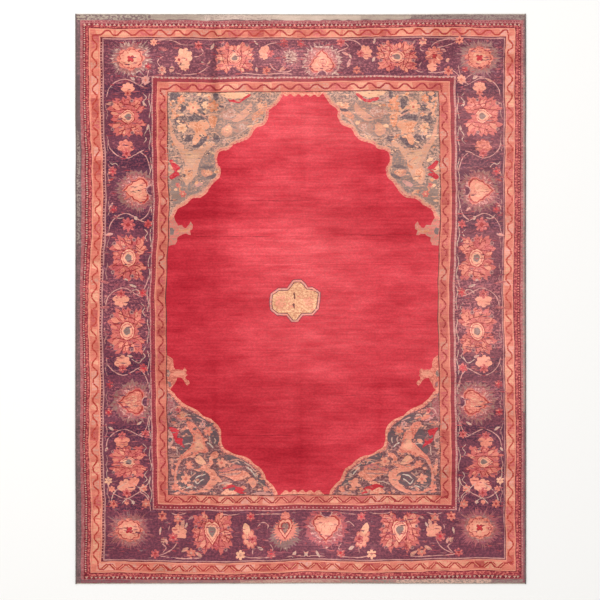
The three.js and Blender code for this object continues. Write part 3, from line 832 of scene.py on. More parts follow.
# The corner pieces, in squares in from the side edge and from the end edge of the field
upperCorner = {
    "outline": [
        (118, 0), (116, 2), (109, 12.5), (101.4, 18), (101, 25), (96.4, 33), (90, 35.5), (86.5, 37.4),
        (82, 45.6), (76.5, 49.2), (65.6, 52.8), (61.1, 57.4), (51.1, 60.1), (49.3, 70.1), (53.4, 77.4),
        (52, 85.6), (45.6, 91.9), (40.2, 100.1), (32.9, 105.6), (23.8, 106.5), (16.5, 112.8),
        (8.4, 117.4), (4.7, 125.6), (0, 129),
    ],
    "rim": ("peach", "rose", 0.4), "innerRim": ("sand", "fawn", 0.5), "ground": ("slate", "fog", 0.5),
    "wear": ("mist", "fog", "sand", "slate", "ashRose", "bone"), "flecks": (420, 240), "blotCount": 130,
    "blots": ("straw", "sand", "slate", "darkSlate", "straw", "apricot"),
    "floret": [
        (("fawn", "coral", 0.5), [
            (0.4, 116), (3.4, 119), (5, 126), (7.4, 130.3), (9, 133.3), (13.4, 132.9), (15.5, 135.8),
            (18, 135.8), (20.6, 132.4), (22, 128.8), (24.7, 132.8), (24, 136.8), (22, 138.3),
            (22.4, 142.8), (20, 142.8), (18, 141.3), (14.5, 142.3),
            (11, 143.8), (8.5, 146), (8.5, 149.3), (7, 152.8), (0, 154)]),
        (("apricot", "fawn", 0.4), [(10, 136), (15, 137.6), (20, 137), (22.6, 133), (21, 139.6),
                (15, 140.4), (10, 140)]),
        (("slate", "darkSlate", 0.4), [(0.6, 136.6), (3.6, 136), (5.4, 139), (4.2, 142.6), (1, 143)]),
    ],
    "shapes": [
        # worn wool of the streaky parts
        ("darkSlate", "slate", 0.35, [(2, 1), (11, 1), (12, 4), (7, 9), (3, 9)]),
        ("darkSlate", "slate", 0.4, [(31, 5), (37, 5), (39, 12), (37, 18), (33, 14)]),
        ("darkSlate", "slate", 0.4, [(31, 18), (35, 19), (41, 25), (38, 27), (33, 23)]),
        ("darkSlate", "mist", 0.3, [(6, 27), (12, 23.6), (20, 24), (21, 28), (13, 30), (8, 33)]),
        ("darkSlate", "mist", 0.3, [(12, 41), (17, 43), (23, 42), (25, 47), (20, 50), (14, 48)]),
        ("darkSlate", "slate", 0.3, [(34, 44), (39, 43), (38, 49), (33, 53), (27, 56), (24, 54), (30, 50)]),
        ("fog", "slate", 0.55, [(50, 22), (62, 14), (84, 9), (92, 20), (86, 30), (78, 40), (62, 46),
                (52, 44), (46, 34)]),
        ("fog", "slate", 0.6, [(28, 60), (46, 62), (46, 84), (36, 98), (24, 102), (14, 104), (14, 92),
                (24, 78)]),
        ("mist", "slate", 0.5, [(3, 88), (14, 92), (16, 106), (8, 112), (2, 110)]),
        ("darkSlate", "slate", 0.4, [(22, 24), (29, 22.6), (36, 24.6), (36, 27), (28, 28), (21, 29)]),
        ("darkSlate", "slate", 0.3, [(12, 14), (16, 12.4), (19, 16), (15, 19.6), (11.6, 18)]),
        ("darkSlate", "slate", 0.3, [(25.6, 52.6), (30, 50.6), (35, 52), (31, 55.6), (26.4, 56)]),
        ("darkSlate", "slate", 0.4, [(46, 43), (51, 43.4), (52, 49), (48, 50.4), (45.4, 47.4)]),
        ("darkSlate", "slate", 0.3, [(46.4, 0.6), (50.6, 0.6), (50.4, 6.4), (47.4, 7.4)]),
        ("apricot", "sand", 0.5, [(2.9, 9.2), (5.2, 15.6), (8.4, 21), (6.5, 24.7), (3.8, 19.2), (1.5, 11.9)]),
        ("sand", "apricot", 0.4, [
            (21.1, 30.1), (29.3, 29.2), (38.4, 28.3), (41.5, 34.7), (36.5, 38.3), (38.4, 43.8),
            (32.9, 45.6), (30.2, 51),
            (26.1, 52.8), (24.3, 47.4), (27.5, 41), (23.8, 34.7)]),
        ("apricot", "sand", 0.4, [(24, 31.6), (31, 31), (34, 35), (30, 41), (27, 38)]),
        ("apricot", "sand", 0.3, [(41.1, 24.7), (45.6, 22.8), (49.3, 25.6), (47.5, 32.8), (44.7, 36.5),
                (42, 31.9)]),
        ("sand", "fawn", 0.4, [(0.4, 26), (2.4, 30), (5, 38.3), (7.4, 44.6), (11, 50), (16.5, 54),
                (14, 58), (7.4, 54), (3.4, 46), (1.6, 38)]),
        ("sand", "fog", 0.5, [
            (7.5, 52.8), (12.9, 56.5), (25.6, 57.8), (34.7, 56.5), (40.2, 51.9), (44.7, 49.2),
            (47.5, 52.8), (40.2, 57.4), (36.5, 61.9), (32, 69.2), (30.2, 77.4), (27.5, 84.7), (22, 90.1),
            (18.4, 92.8), (15.2, 86.5), (13.8, 78.3),
            (17, 72.8), (13.8, 65.6), (11.1, 59.2)]),
        ("straw", "fog", 0.5, [(18, 60), (28, 60.6), (32, 62), (28, 68), (24, 74), (20, 70), (18, 64)]),
        ("apricot", "sand", 0.6, [(17, 76), (24, 78), (24, 84), (19, 88), (16.4, 82)]),
        ("fawn", "bone", 0.4, [(51, 21.9), (62, 15.6), (69.3, 20.1), (63.8, 25.6), (54.7, 24.7)]),
        ("sand", "fawn", 0.5, [(63.8, 28.3), (71, 22), (78.4, 16.5), (83.8, 10.1), (84, 20), (76, 27),
                (70, 30)]),
        ("sand", "fawn", 0.5, [(52.9, 36.5), (61.1, 31), (63.8, 39.2), (60.2, 44.7), (53.8, 42.8)]),
        ("fawn", "mist", 0.5, [(66.5, 32.8), (77.5, 29.2), (80.2, 34.7), (71.1, 41), (65.6, 38.3)]),
        ("fawn", "apricot", 0.5, [(84, 24), (92, 18), (98, 10), (100, 16), (94, 25), (87, 31)]),
        ("straw", "sand", 0.3, [(52.9, 0.8), (57, 4.4), (63.8, 6.5), (72.9, 6.5), (80.2, 3.4), (83, 0.4),
                (70, 0.3), (58, 0.3)]),
        ("scarlet", "rose", 0.3, [
            (60.2, 6.4), (66.5, 7.3), (69.6, 8.4), (75.6, 6.4), (81, 2), (83.6, 3.4), (78, 8), (71.6, 11),
            (66, 10.4), (62, 9.4)]),
        ("sand", "mist", 0.5, [(0.2, 70), (5.6, 74.6), (5, 80.1), (0.4, 84)]),
        ("scarlet", "rose", 0.2, [
            (0.2, 69.4), (3.4, 68.3), (6.1, 71), (11.1, 74.7), (11.7, 77.4), (8.6, 79.4), (12.5, 82.8),
            (8.4, 84.4),
            (4.2, 87.6), (0.6, 86), (2.6, 82.6), (6.4, 79.8), (4.6, 76), (2.6, 73.4)]),
        ("fawn", "apricot", 0.4, [(32.9, 78.3), (40.2, 77.8), (45.6, 80.6), (41, 85), (34.7, 83.8)]),
        ("slate", "darkSlate", 0.5, [(32, 75.6), (38, 73.4), (45.6, 73.6), (45, 76), (38, 76.6)]),
        ("slate", "darkSlate", 0.5, [(38, 86), (44, 83), (49, 81.6), (48, 85), (43, 87.4)]),
        ("shell", "fawn", 0.4, [(27, 92), (33, 88.6), (38, 89.6), (33, 94), (28, 95)]),
        ("slate", "mist", 0.3, [(24, 98), (34, 96.6), (37, 98), (30, 100)]),
    ],
    "lines": [
        ("sand", 2.2, [(3, 26), (7, 18), (10.4, 12), (14, 8)]),
        ("fawn", 1.6, [(28, 18), (33, 21.6), (40, 26)]), ("mist", 1.3, [(20, 6), (25, 7.6), (29, 11)]),
        ("mist", 1.3, [(33, 9), (36, 5), (42, 4)]), ("apricot", 2.6, [(41, 3), (43, 7), (45.6, 10)]),
        ("mist", 1.3, [(49.3, 17.8), (54, 17), (60.2, 18.3)]),
        ("bone", 1.2, [(15.6, 40), (17, 45), (15, 48)]), ("sand", 1.5, [(36, 24), (44, 21), (52, 22)]),
        ("bone", 1.2, [(57, 47), (66, 45), (74, 40), (80, 36)]),
        ("bone", 1.2, [(84, 34), (88, 28), (94, 26)]), ("brick", 1.0, [(43, 10), (45.6, 15), (49, 11)]),
        ("scarlet", 1.2, [(3, 77), (6, 77.6), (9, 76)]),
        ("apricot", 1.6, [(13, 94), (11, 98), (14, 101)]),
        ("fawn", 1.6, [(24, 104), (32, 101), (40, 94), (46, 88)]),
        ("mist", 1.2, [(16, 22), (20, 26), (18, 30)]), ("bone", 1.2, [(54, 13), (60, 10.4), (66, 12.6)]),
        ("fawn", 1.4, [(56, 26), (64, 27), (72, 25)]),
    ],
    "stars": [
        (13.4, 6.9, 4.4, "apricot", "sand"), (25.6, 15.2, 7.2, "sand", "apricot"),
        (25.6, 15.2, 4.4, "straw", "coral"), (45.6, 13.3, 6.4, "apricot", "sand"),
        (13.8, 35.6, 5.4, "straw", "honey"), (40.6, 80.6, 3.2, "sand", "apricot"),
        (14.3, 101.9, 3.8, "coral", "sand"), (59, 37.6, 4.0, "sand", "straw"),
        (74, 35, 3.6, "bone", "fawn"), (93, 14, 3.6, "sand", "apricot"), (9.6, 93, 2.8, "coral", "rose"),
    ],
}
lowerCorner = {
    "outline": [
        (110, 0), (108.8, 3.8), (104.3, 10.2), (98.4, 15.7), (96.5, 20.7), (92.9, 26.6), (87, 30.2),
        (82.5, 34.7), (76.5, 38.4), (68.8, 39.7), (60.6, 44.3), (55.4, 48.4), (53.2, 57), (53.2, 64.3),
        (50.2, 70.7), (43.8, 76.6), (36.5, 79.3), (30.6, 84.7), (23.4, 87.9), (17, 91.1), (9.7, 97.5),
        (5.2, 103.4), (0, 107),
    ],
    "rim": ("salmon", "peach", 0.45), "innerRim": ("rosewood", "salmon", 0.5),
    "ground": ("darkClove", "ashRose", 0.34),
    "wear": ("clove", "mist", "ashRose", "fawn", "darkClove", "coralDust"), "flecks": (420, 240),
    "blotCount": 210, "blots": ("peach", "darkSlate", "salmon", "clove", "peach"),
    "floret": [
        (("clay", "salmon", 0.5), [
            (0, 104), (3, 105), (5.4, 108.2), (7.4, 111.2), (9.4, 115.2), (10.4, 117.2), (14, 117),
            (16.5, 114.4), (18.2, 111), (20.5, 108.8), (22.9, 111), (21.8, 114), (18.6, 115.6), (19, 118),
            (20.8, 119.7), (19.2, 121), (19.4, 124.2),
            (17.3, 127), (15.5, 124.9), (8.5, 125.4), (7.8, 126), (6.2, 128.6), (6.2, 132.2),
            (4.9, 136.2), (1.8, 139.2), (0, 139.6)]),
        (("peach", "salmon", 0.4), [(6, 122), (10, 123.6), (17, 123), (18, 119.6), (10, 119), (6, 119.4)]),
        (("slate", "fawn", 0.4), [(0.4, 124.6), (2.4, 125), (3.4, 121.8), (2.4, 118.6), (0.4, 118.4)]),
        (("rosewood", "slate", 0.4), [(0.4, 114), (3.6, 113), (4.6, 109), (1.6, 107)]),
    ],
    "shapes": [
        # darker wool behind the scrolls
        ("darkSlate", "darkClove", 0.3, [(13, 62), (22, 67), (26, 60), (25, 50), (20, 44), (13, 41),
                (11, 47), (15, 54)]),
        ("darkSlate", "darkClove", 0.4, [(22, 12), (30, 8), (38, 10), (42, 16), (40, 22), (32, 26),
                (24, 24), (20, 18)]),
        ("darkSlate", "darkClove", 0.3, [(44, 66), (50, 62), (51, 54), (47, 50), (42, 56), (40, 62)]),
        ("darkSlate", "clove", 0.3, [(56, 38), (64, 32), (74, 29), (80, 31), (70, 37), (60, 41)]),
        ("darkSlate", "darkClove", 0.3, [(24, 80), (28, 72), (38, 72), (44, 69), (38, 76), (30, 81)]),
        ("darkSlate", "clove", 0.3, [(84, 24), (84, 20), (90, 12), (95, 6), (99, 8), (93, 17), (88, 23)]),
        ("darkSlate", "clove", 0.3, [(8, 12), (14, 7), (24, 5), (30, 6), (22, 10), (14, 22), (10, 26)]),
        ("rosewood", "ashRose", 0.4, [(0.3, 72), (3, 78), (8, 84), (7, 92), (2.6, 98), (0.3, 100)]),
        ("rosewood", "shell", 0.5, [(3.4, 83), (8, 79.6), (14, 78), (18, 75), (13, 74), (7, 76.6)]),
        ("salmon", "clay", 0.4, [(8.8, 79.6), (13, 76), (19, 74.6), (17.4, 77.6), (12, 80.6)]),
        ("clay", "salmon", 0.5, [
            (18.8, 72.5), (21.5, 73.6), (26.1, 71.6), (30.6, 66.1), (34.3, 61.6), (36.1, 56.1),
            (37.9, 49.7), (40.6, 45.2), (37.9, 42.5), (30.6, 42.7), (27, 39.7), (23.4, 40.7),
            (18.8, 37.9), (13.4, 35), (10, 29), (8.4, 30.4),
            (10.8, 37.9), (17, 43.4), (21.5, 47.9), (24.3, 52.5), (25.2, 57), (23.4, 61.6), (20.6, 66.1)]),
        ("peach", "salmon", 0.4, [
            (27, 61.6), (32.5, 60.7), (34.9, 54), (38.4, 46.4), (30, 44.3), (21.5, 42), (14, 37.6),
            (19, 43), (24.6, 48),
            (27, 53)]),
        ("cream", "peach", 0.5, [(29, 55), (33, 53), (35.6, 47.4), (28, 45.6), (27, 49)]),
        ("peach", "salmon", 0.35, [
            (37.9, 26.6), (45.2, 25.7), (48.8, 21.6), (50.2, 14.3), (46.1, 7.9), (38.8, 3.4), (30.5, 1.6),
            (36.1, 7),
            (41.5, 13.4), (42.5, 18.8), (37.9, 22.5), (29.7, 23.4), (25.2, 26.6)]),
        ("salmon", "peach", 0.4, [(40, 24.6), (45, 23.6), (47.6, 19), (46.6, 14), (44.6, 18.6)]),
        ("cream", "peach", 0.4, [(27, 36.6), (31.5, 40), (35.4, 36), (38.6, 31.6), (32.5, 30.6), (29, 32.5)]),
        ("salmon", "peach", 0.4, [
            (50.6, 42.6), (45.2, 41.2), (41.2, 37), (41.3, 32.5), (37, 29.4), (27.9, 27.8), (29.7, 25.6),
            (39.7, 26.8),
            (45.6, 31.6), (45.6, 36.1), (50, 38.6)]),
        ("salmon", "rosewood", 0.5, [(49.7, 24.6), (58.8, 28.4), (67, 30.2), (75.6, 28), (67, 25.9),
                (57.9, 23.6)]),
        ("salmon", "peach", 0.4, [
            (50.6, 21.9), (61.5, 23.6), (74.3, 24.6), (81, 20.7), (74.3, 15.4), (67, 13.6), (61.5, 17.5),
            (55.2, 19.8)]),
        ("ashRose", "fawn", 0.4, [(52, 21), (62, 21.4), (74, 22.4), (70, 20.6), (60, 19.6)]),
        ("peach", "salmon", 0.4, [(80.4, 15.6), (84, 17), (87.6, 14.3), (88.6, 9.7), (85.2, 6.4),
                (82, 10.7)]),
        ("peach", "cream", 0.4, [(54.3, 1), (56, 4), (59.7, 6.4), (66.1, 4.6), (70, 0.5)]),
        ("scarlet", "brick", 0.2, [
            (55.2, 6.4), (58.8, 9.5), (64.3, 10.6), (68.8, 8.6), (74.3, 7), (78.8, 1.6), (73.4, 0.8),
            (67, 3.8), (61, 7)]),
        ("shell", "fawn", 0.4, [(84, 0.3), (88, 2), (95, 3.4), (104, 1), (100, 0.3)]),
        ("fawn", "shell", 0.4, [(0.3, 65), (4.3, 61.4), (5.4, 55.2), (4, 50), (0.3, 47.6)]),
        ("darkSlate", "slate", 0.3, [(0.3, 57), (3, 57.4), (4, 55.4), (2.6, 53.6), (0.3, 54)]),
        ("scarlet", "rose", 0.15, [
            (0.6, 67.9), (5.2, 67.4), (11.1, 64.8), (10, 60.7), (9.4, 57.6), (14.6, 56.3), (14, 53),
            (17, 47.4), (11.5, 50.4),
            (7, 53.4), (5, 58.8), (3.4, 63.4)]),
        ("fawn", "salmon", 0.4, [(1.6, 36), (4.6, 36.4), (4.4, 29.6), (2.2, 29)]),
        ("salmon", "fawn", 0.4, [(2.6, 26), (5.4, 25), (4.6, 20), (2.6, 20.6)]),
    ],
    "lines": [
        ("salmon", 2.3, [
            (13.4, 36.1), (8.6, 28.4), (6.5, 20.7), (7, 14.3), (8.8, 7), (16.1, 2.6), (26.1, 2),
            (35.2, 4.7), (43.4, 10.7)]),
        ("salmon", 1.6, [(25.2, 26.6), (22, 28), (20.6, 30)]),
        ("bone", 1.1, [(41.1, 59), (41.8, 56), (41.4, 53)]),
        ("chalk", 1.3, [(39.4, 52.8), (42.6, 51), (45.6, 47.6)]),
        ("bone", 1.3, [(46.4, 57.6), (47.4, 55), (46.4, 52)]),
        ("bone", 0.9, [(8.6, 49), (9.2, 44), (8.4, 40)]),
        ("chalk", 1.2, [(27, 16.1), (30.6, 18.8), (37, 20.6)]),
        ("chalk", 1.2, [(26.1, 14.9), (29.4, 10.9), (33, 14), (36.6, 16)]),
        ("chalk", 1.1, [(17.9, 6.1), (23.4, 8.6), (28.8, 6.1)]), ("bone", 1.0, [(22.5, 24), (23, 20)]),
        ("chalk", 1.3, [(78.8, 28), (83, 24), (87.6, 18)]),
        ("bone", 1.1, [(76, 32), (82, 28.6), (88, 22.6)]), ("fawn", 1.2, [(62, 34), (70, 35), (76, 33)]),
        ("bone", 1.1, [(64, 31.4), (69, 33.4), (72, 31)]),
        ("bone", 1.2, [(17, 77.4), (20, 80.6), (24, 79.6)]),
        ("shell", 1.1, [(3, 81.6), (5, 86), (10, 88)]),
        ("salmon", 1.4, [(16, 76), (19.6, 77.6), (24.6, 76)]),
        ("salmon", 1.2, [(53.4, 32.5), (60, 31.6), (66, 31)]),
        ("mist", 1.2, [(88, 13), (93, 11.6), (98, 8)]), ("bone", 1.1, [(50, 10), (56, 12.4), (62, 12)]),
        ("bone", 1.0, [(16, 51), (21, 51.6), (24, 50.6)]), ("shell", 1.1, [(38, 60), (39, 66), (36, 68)]),
        ("shell", 1.2, [(29, 78), (33, 76.6), (38, 74)]), ("fawn", 1.1, [(21, 16), (24, 19), (28, 22)]),
        ("mist", 1.0, [(12, 10), (14, 7), (18, 9)]),
    ],
    "stars": [
        (17.5, 15.7, 5.6, "peach", "clay"), (20.6, 30.6, 4.2, "salmon", "peach"),
        (6.5, 7.5, 4.0, "salmon", "clay"), (53.6, 32.7, 5.2, "peach", "clay"),
        (40.2, 64.3, 4.8, "salmon", "clay"), (35.2, 71, 3.4, "shell", "slate"),
        (11.1, 84.7, 3.0, "rose", "crimson"), (24.6, 68.4, 2.6, "salmon", "clay"),
        (88, 20, 2.2, "bone", "mist"), (14.6, 79.6, 1.6, "honey", "bone"),
        (98, 6, 3.0, "salmon", "peach"),
    ],
}


def layCornerPiece(cornerX, cornerY, across, along, piece, seed):
    scatter = random.Random(seed)

    def put(points, waver=0.0):
        rows = [(a + scatter.uniform(-waver, waver), b + scatter.uniform(-waver, waver)) for a, b in points]
        rows = np.maximum(rows, 0)
        return np.column_stack((cornerX + across * rows[:, 0], cornerY + along * rows[:, 1]))

    for finish, points in piece["floret"]:
        lay(put(points, 0.3), *finish)
    outline = smoothLine(piece["outline"], 3)
    for step, finish in ((0, "rim"), (2.3, "innerRim"), (3.8, "ground")):
        inner = put(np.vstack((shiftLine(outline, step), [(0, 0)])))
        lay(inner, *piece[finish])
    x0, x1 = sorted((cornerX, cornerX + across * 116))
    y0, y1 = sorted((cornerY, cornerY + along * 126))
    layFlecks(piece["flecks"][0], x0, x1, y0, y1, piece["wear"], seed, inner, 1.5)
    layBlots(piece["blotCount"], x0, x1, y0, y1, piece["blots"], seed + 20, inner)
    for dye, secondDye, share, points in piece["shapes"]:
        lay(smoothLine(put(points, 0.35), 2, True), dye, secondDye, share)
    layBlots(piece["blotCount"] // 2, x0, x1, y0, y1, piece["blots"], seed + 70, inner)
    for dye, width, points in piece["lines"]:
        lay(ribbon(smoothLine(put(points, 0.3), 3), width), dye, "fawn", 0.3)
    for i, (a, b, radius, dye, centre) in enumerate(piece["stars"]):
        (x, y), = put([(a, b)])
        layStar(x, y, radius, dye, centre, 6, 25 * i)
    layFlecks(piece["flecks"][1], x0, x1, y0, y1, piece["wear"][:4], seed + 50, inner, 0.8)


medallion = [
    (-21.4, 8.4), (-12.7, 8.4), (-8.6, 13.2), (-6.4, 16.4), (-0.6, 16.4), (2.4, 13.2), (5.6, 8.6),
    (10.4, 8.6), (16.8, 4.8), (16.2, -3), (15.6, -9.6), (11.2, -14.4), (1, -14.2), (-4.6, -20.6),
    (-7.6, -20.6), (-12.8, -13.8), (-22.6, -13.4), (-27.4, -9.4), (-27.8, -3), (-27.4, 4),
]
# a few thin dark wefts: from, to, place along the rug
fieldWefts = [
    (-76, 0, -136.6), (-30, 40, -17.6), (20, 110, -96), (-108, -30, 62.4), (40, 116, 64), (-60, 20, 98),
]


def layField():
    for x0, x1, y in fieldWefts:
        steps = np.linspace(x0, x1, 7)
        upper = [(x, y + draw.uniform(0.2, 0.5)) for x in steps[1:-1]]
        lower = [(x, y - draw.uniform(0.2, 0.5)) for x in steps[-2:0:-1]]
        lay([(x0, y)] + upper + [(x1, y)] + lower, "deepMadder", "darkMadder", 0.5, 9, 0.2)
    (left, bottom), unused, (right, top), unused = frameOutline(*stripes[-1][1:5])
    layCornerPiece(left, top, 1, -1, upperCorner, 81)
    layCornerPiece(right, top, -1, -1, upperCorner, 82)
    layCornerPiece(left, bottom, 1, 1, lowerCorner, 83)
    layCornerPiece(right, bottom, -1, 1, lowerCorner, 84)
    # a coral strip with small scallops joins the corner pieces
    for y, along in ((top, -1), (bottom, 1)):
        scallop = ((0, 2.2), (2.2, 4.4), (4.4, 4.4), (6.6, 2.2))
        scallops = [(x + step, depth) for x in range(-18, 18, 8) for step, depth in scallop]
        strip = [(-20, 0)] + scallops + [(23, 0)]
        lay([(x, y + along * depth) for x, depth in strip], "salmon", "peach", 0.4)
    for grow, dye, secondDye, share in (
        (3.5, "crimsonDust", "darkMadder", 0.5), (2.6, "shell", "salmon", 0.45), (0.8, "umber", "ink", 0.3),
        (0, "honey", "butter", 0.5),
    ):
        lay(shiftLine(medallion, grow, True), dye, secondDye, share, 2.4, 0.12)
    lay([(-24, 2), (-16, 4), (-14, -6), (-20, -10), (-25, -7)], "honey", "salmon", 0.4)
    lay([(2, 0), (10, 2), (12, -7), (6, -9)], "honey", "salmon", 0.3)
    layFlecks(60, -24, 13, -11, 8, ("honey", "butter", "salmon"), 93, np.array(medallion))
    lay([(-6.6, 8), (-5.6, 4), (-5.2, 0), (-6.6, -0.6), (-6.6, 3), (-7.8, 5)], "umber")
    lay([(-6.8, -4), (-5.2, -5.4), (-5.8, -10.6), (-8.2, -5.6)], "umber")


def drawCartoon():
    layStripes()
    layBeads()
    layZigzags()
    layLongSide(-1, -173.2, (0, 0, 0, 0, 0))
    layLongSide(1, 179.2, (2, -2, -1, 3, 6.5))
    inside = (-196, 202, -259.4, 258.8)
    for x, y, petal, rays, seed in (
        (-170, 240, "peach", ("bone", "ashRose", "sage", "mauve", "lilac", "crimsonDust"), 5),
        (179, 240, "salmon", ("sage", "ashRose", "mauve", "lilac"), 6),
        (-173, -231, "peach", ("coralDust", "dusk", "mauve", "rosewood"), 7),
        (178, -230, "peach", ("dusk", "rosewood", "coralDust"), 8),
    ):
        layCornerFlower(x, y, petal, rays, inside, seed)
    layTopEnd()
    layBottomEnd()
    tints = (
        "plum", "nightPlum", "lilac", "dusk", "crimson", "rosewood", "coralDust", "crimson", "mauve", "rose",
    )
    for x0, x1, y0, y1, count in (
        (-196, -150, -258, 258, 520), (156, 202, -258, 258, 520), (-150, 156, 223, 258, 280),
        (-150, 156, -258, -213, 320),
    ):
        layFlecks(count, x0, x1, y0, y1, tints, count + int(x0))
    layField()
    print("rug: cartoon drawn,", len(patches), "patches of colour")


drawCartoon()

# The knotted pile: the cartoon is cut into triangles of one dye each, and these are warped as the old rug is
pile = {
    "rimInset": 0.003,
    "reliefGrid": 10.0,  # squares between the points that carry the pile's unevenness
    "longestEdge": 10.0,
    "finest": 0.3,  # points nearer than this are joined
    "unevenness": 0.0004,
    "smallestOnBack": 34.0,  # smaller patches are left out of the back's triangles
    "sparerOnBack": 8,  # the back has one relief point where the pile has this many
    "rimStep": 5.0,
    "foldStep": 6.0,  # squares along a fold between its relief points, and where they stand across it
    "foldColumns": (-1.2, -0.5, 0, 0.5, 1.2),
    "rimReach": 2.5,  # squares over which the top draws in towards the rim
    # the rim from the pile's top to the back: each ring's inset from the cut edge and its height, in metres
    "rimRings": [(0.0016, 0.0071), (0.0005, 0.0060), (0.0, 0.0044), (0.0003, 0.0020), (0.0012, 0.0004)],
    "uvFill": 0.985,  # share of the OFBake map that is used, and the back's part of it
    "backUvShare": 0.15,
    "slowSway": 0.45,  # squares that the woven lines sway in long waves, and in short ones
    "quickSway": 0.25,
}
# soft folds across the whole length: place across in squares, half width, depth in metres
folds = [(-85.8, 2.6, 0.0012), (0.2, 2.2, 0.0009), (78.5, 2.4, 0.0011)]
# how the weaver's lines wander, in squares: the way they move, then place and weight of the band that moves,
# then place along the band and how far
drifts = [
    ("x", [(-212, 1), (-143, 0)], [
        (-284, 1), (-231, 1.5), (-190, 0.8), (-135, -0.5), (-71, 0.5), (-7, -1.5), (25, -0.5), (57, 2.4),
        (150, 2),
        (185, 0.2), (217, -0.8), (284, 0)]),
    ("x", [(-212, 0), (-143, 1), (-90, 0)], [
        (-190, 1.7), (-158, 1.7), (-110, 0), (-30, -0.5), (2, -1.4), (34, 0.1), (66, 1.9), (98, 2.5),
        (130, 1)]),
    ("x", [(90, 0), (144, 1), (213, 0)], [
        (-190, 0.5), (-94, 0), (-62, -0.8), (-15, -1.8), (34, -1), (66, 0.3), (98, 1.3), (130, 0.5),
        (194, -0.9)]),
    ("x", [(144, 0), (213, 1)], [
        (-199, 0.4), (-103, 0.8), (-71, -0.4), (-20, -1.3), (57, -1.2), (89, 0.2), (121, -0.4), (217, 0.2)]),
    ("y", [(-268, 1), (-204, 0)], [
        (-190, -0.2), (-165, 0.1), (-139, -1.1), (-87, -2.3), (-35, -0.8), (17, 0.9), (43, -0.6), (95, 0),
        (147, 1.5),
        (173, 2.3), (225, 1.5)]),
    ("y", [(-268, 0), (-204, 1), (-150, 0)], [
        (-150, 1), (-100, 1.3), (-74, 0.2), (-22, -0.3), (4, 1.2), (56, 0.3), (108, 1.2)]),
    ("y", [(150, 0), (215, 1), (268, 0)], [
        (-126, -0.7), (-100, -1.2), (-48, -0.7), (-22, -0.9), (4, -0.2), (56, 0.8), (108, 0.3)]),
    ("y", [(215, 0), (268, 1)], [
        (-165, -0.1), (-139, 0.4), (-87, -0.8), (-35, 0.1), (17, -0.4), (69, 0.6), (95, 1.6), (147, 1.3),
        (225, 0)]),
]
# worn places and painted shade: x, y, reach across, reach along, tone, and where the pile is worn how much.
# The darker strips along the folds are painted fold shade.
wornPlacesAndFoldShade = [
    (10, 20, 72, 120, 0.14, 0.09), (20, 185, 76, 34, 0.10, 0.09), (-112, 20, 24, 130, -0.12),
    (-60, -120, 70, 40, -0.10), (20, -165, 66, 30, -0.20), (115, -20, 25, 100, 0.0, 0.03),
    # painted fold shade: the narrow darker places at x -85.8, 0.2 and 78.5
    (-85.8, 230, 3.8, 52, -0.34), (0.2, 160, 3.4, 60, -0.08), (78.5, 150, 3.6, 60, -0.13),
    (78.5, -130, 3.6, 60, -0.10), (-85.8, 60, 3.0, 90, -0.07), (-85.8, -150, 3.2, 60, -0.14),
    (0.2, -120, 3.0, 70, -0.10), (-225, 210, 20, 70, -0.10), (-225, -200, 20, 90, -0.12),
    (-180, -245, 60, 30, -0.05), (182, 60, 40, 170, 0.14, 0.17), (0, 283, 120, 6, 0.0, 0.06),
    (182, 180, 40, 42, 0.12, 0.12), (182, -50, 40, 46, 0.12, 0.08), (-120, 240, 60, 22, 0.08, 0.08),
    (0, 240, 70, 22, 0.06, 0.06), (-139, 0, 7, 190, -0.10), (145, 0, 7, 190, -0.06),
    (-180, 60, 34, 70, -0.02), (0, 240, 90, 22, 0.12, 0.13), (40, -240, 84, 24, 0.26, 0.07),
    (60, 163, 60, 8, 0.10, 0.04), (10, -200, 120, 6, 0.07, 0.05), (-10, 118, 90, 12, -0.08),
    (20, 52, 90, 11, 0.12, 0.03), (-96, 64, 26, 9, 0.14, 0.02), (10, 22, 80, 8, -0.06),
    (20, -41, 90, 9, 0.08, 0.02), (-20, -66, 100, 8, -0.08), (30, -92, 80, 8, 0.05, 0.0),
    (-40, 96, 60, 7, 0.05, 0.0),
]


def triangulate(rim, outlines, extra, edges=()):
    halfX, halfY = rim.max(axis=0)
    points, lines = [], []
    for outline in [rim] + outlines:
        start, count = len(points), len(outline)
        points.extend(outline.tolist())
        lines.extend((start + i, start + (i + 1) % count) for i in range(count))
    lines.extend((a + len(points), b + len(points)) for a, b in edges)
    points.extend(extra)
    spots, lines, faces, *origins = delaunay_2d_cdt(points, lines, [], 0, pile["finest"], False)
    spots, faces = np.array([(p[0], p[1]) for p in spots]), np.array(faces)
    middles = spots[faces].mean(axis=1)
    inside = (np.abs(middles[:, 0]) < halfX) & (np.abs(middles[:, 1]) < halfY)
    used = np.unique(faces[inside])
    renumber = np.full(len(spots), -1)
    renumber[used] = np.arange(len(used))
    return spots[used], renumber[faces[inside]], middles[inside]


# The number of the uppermost patch over each middle
def choosePatches(middles, numbers):
    order = np.argsort(middles[:, 1])
    ranked = middles[order]
    top = np.zeros(len(middles), int)
    for number in numbers:
        outline = patches[number][0]
        first, last = np.searchsorted(ranked[:, 1], (outline[:, 1].min(), outline[:, 1].max()))
        inside = insideOutline(ranked[first:last], outline)
        top[order[first:last][inside]] = number
    return top


# The edges between triangles of different dyes, as points and pairs of their numbers
def visibleEdges(spots, faces, chosen):
    looks = {}
    look = np.array([looks.setdefault(tuple(patch[1:]), len(looks)) for patch in patches])[chosen]
    ways = np.sort(np.vstack((faces[:, [0, 1]], faces[:, [1, 2]], faces[:, [2, 0]])), axis=1)
    owners = np.tile(np.arange(len(faces)), 3)
    order = np.lexsort((ways[:, 1], ways[:, 0]))
    ways, owners = ways[order], owners[order]
    pairs = np.flatnonzero((ways[1:] == ways[:-1]).all(axis=1))
    differ = pairs[look[owners[pairs]] != look[owners[pairs + 1]]]
    used, edges = np.unique(ways[differ], return_inverse=True)
    return spots[used], edges.reshape(-1, 2)


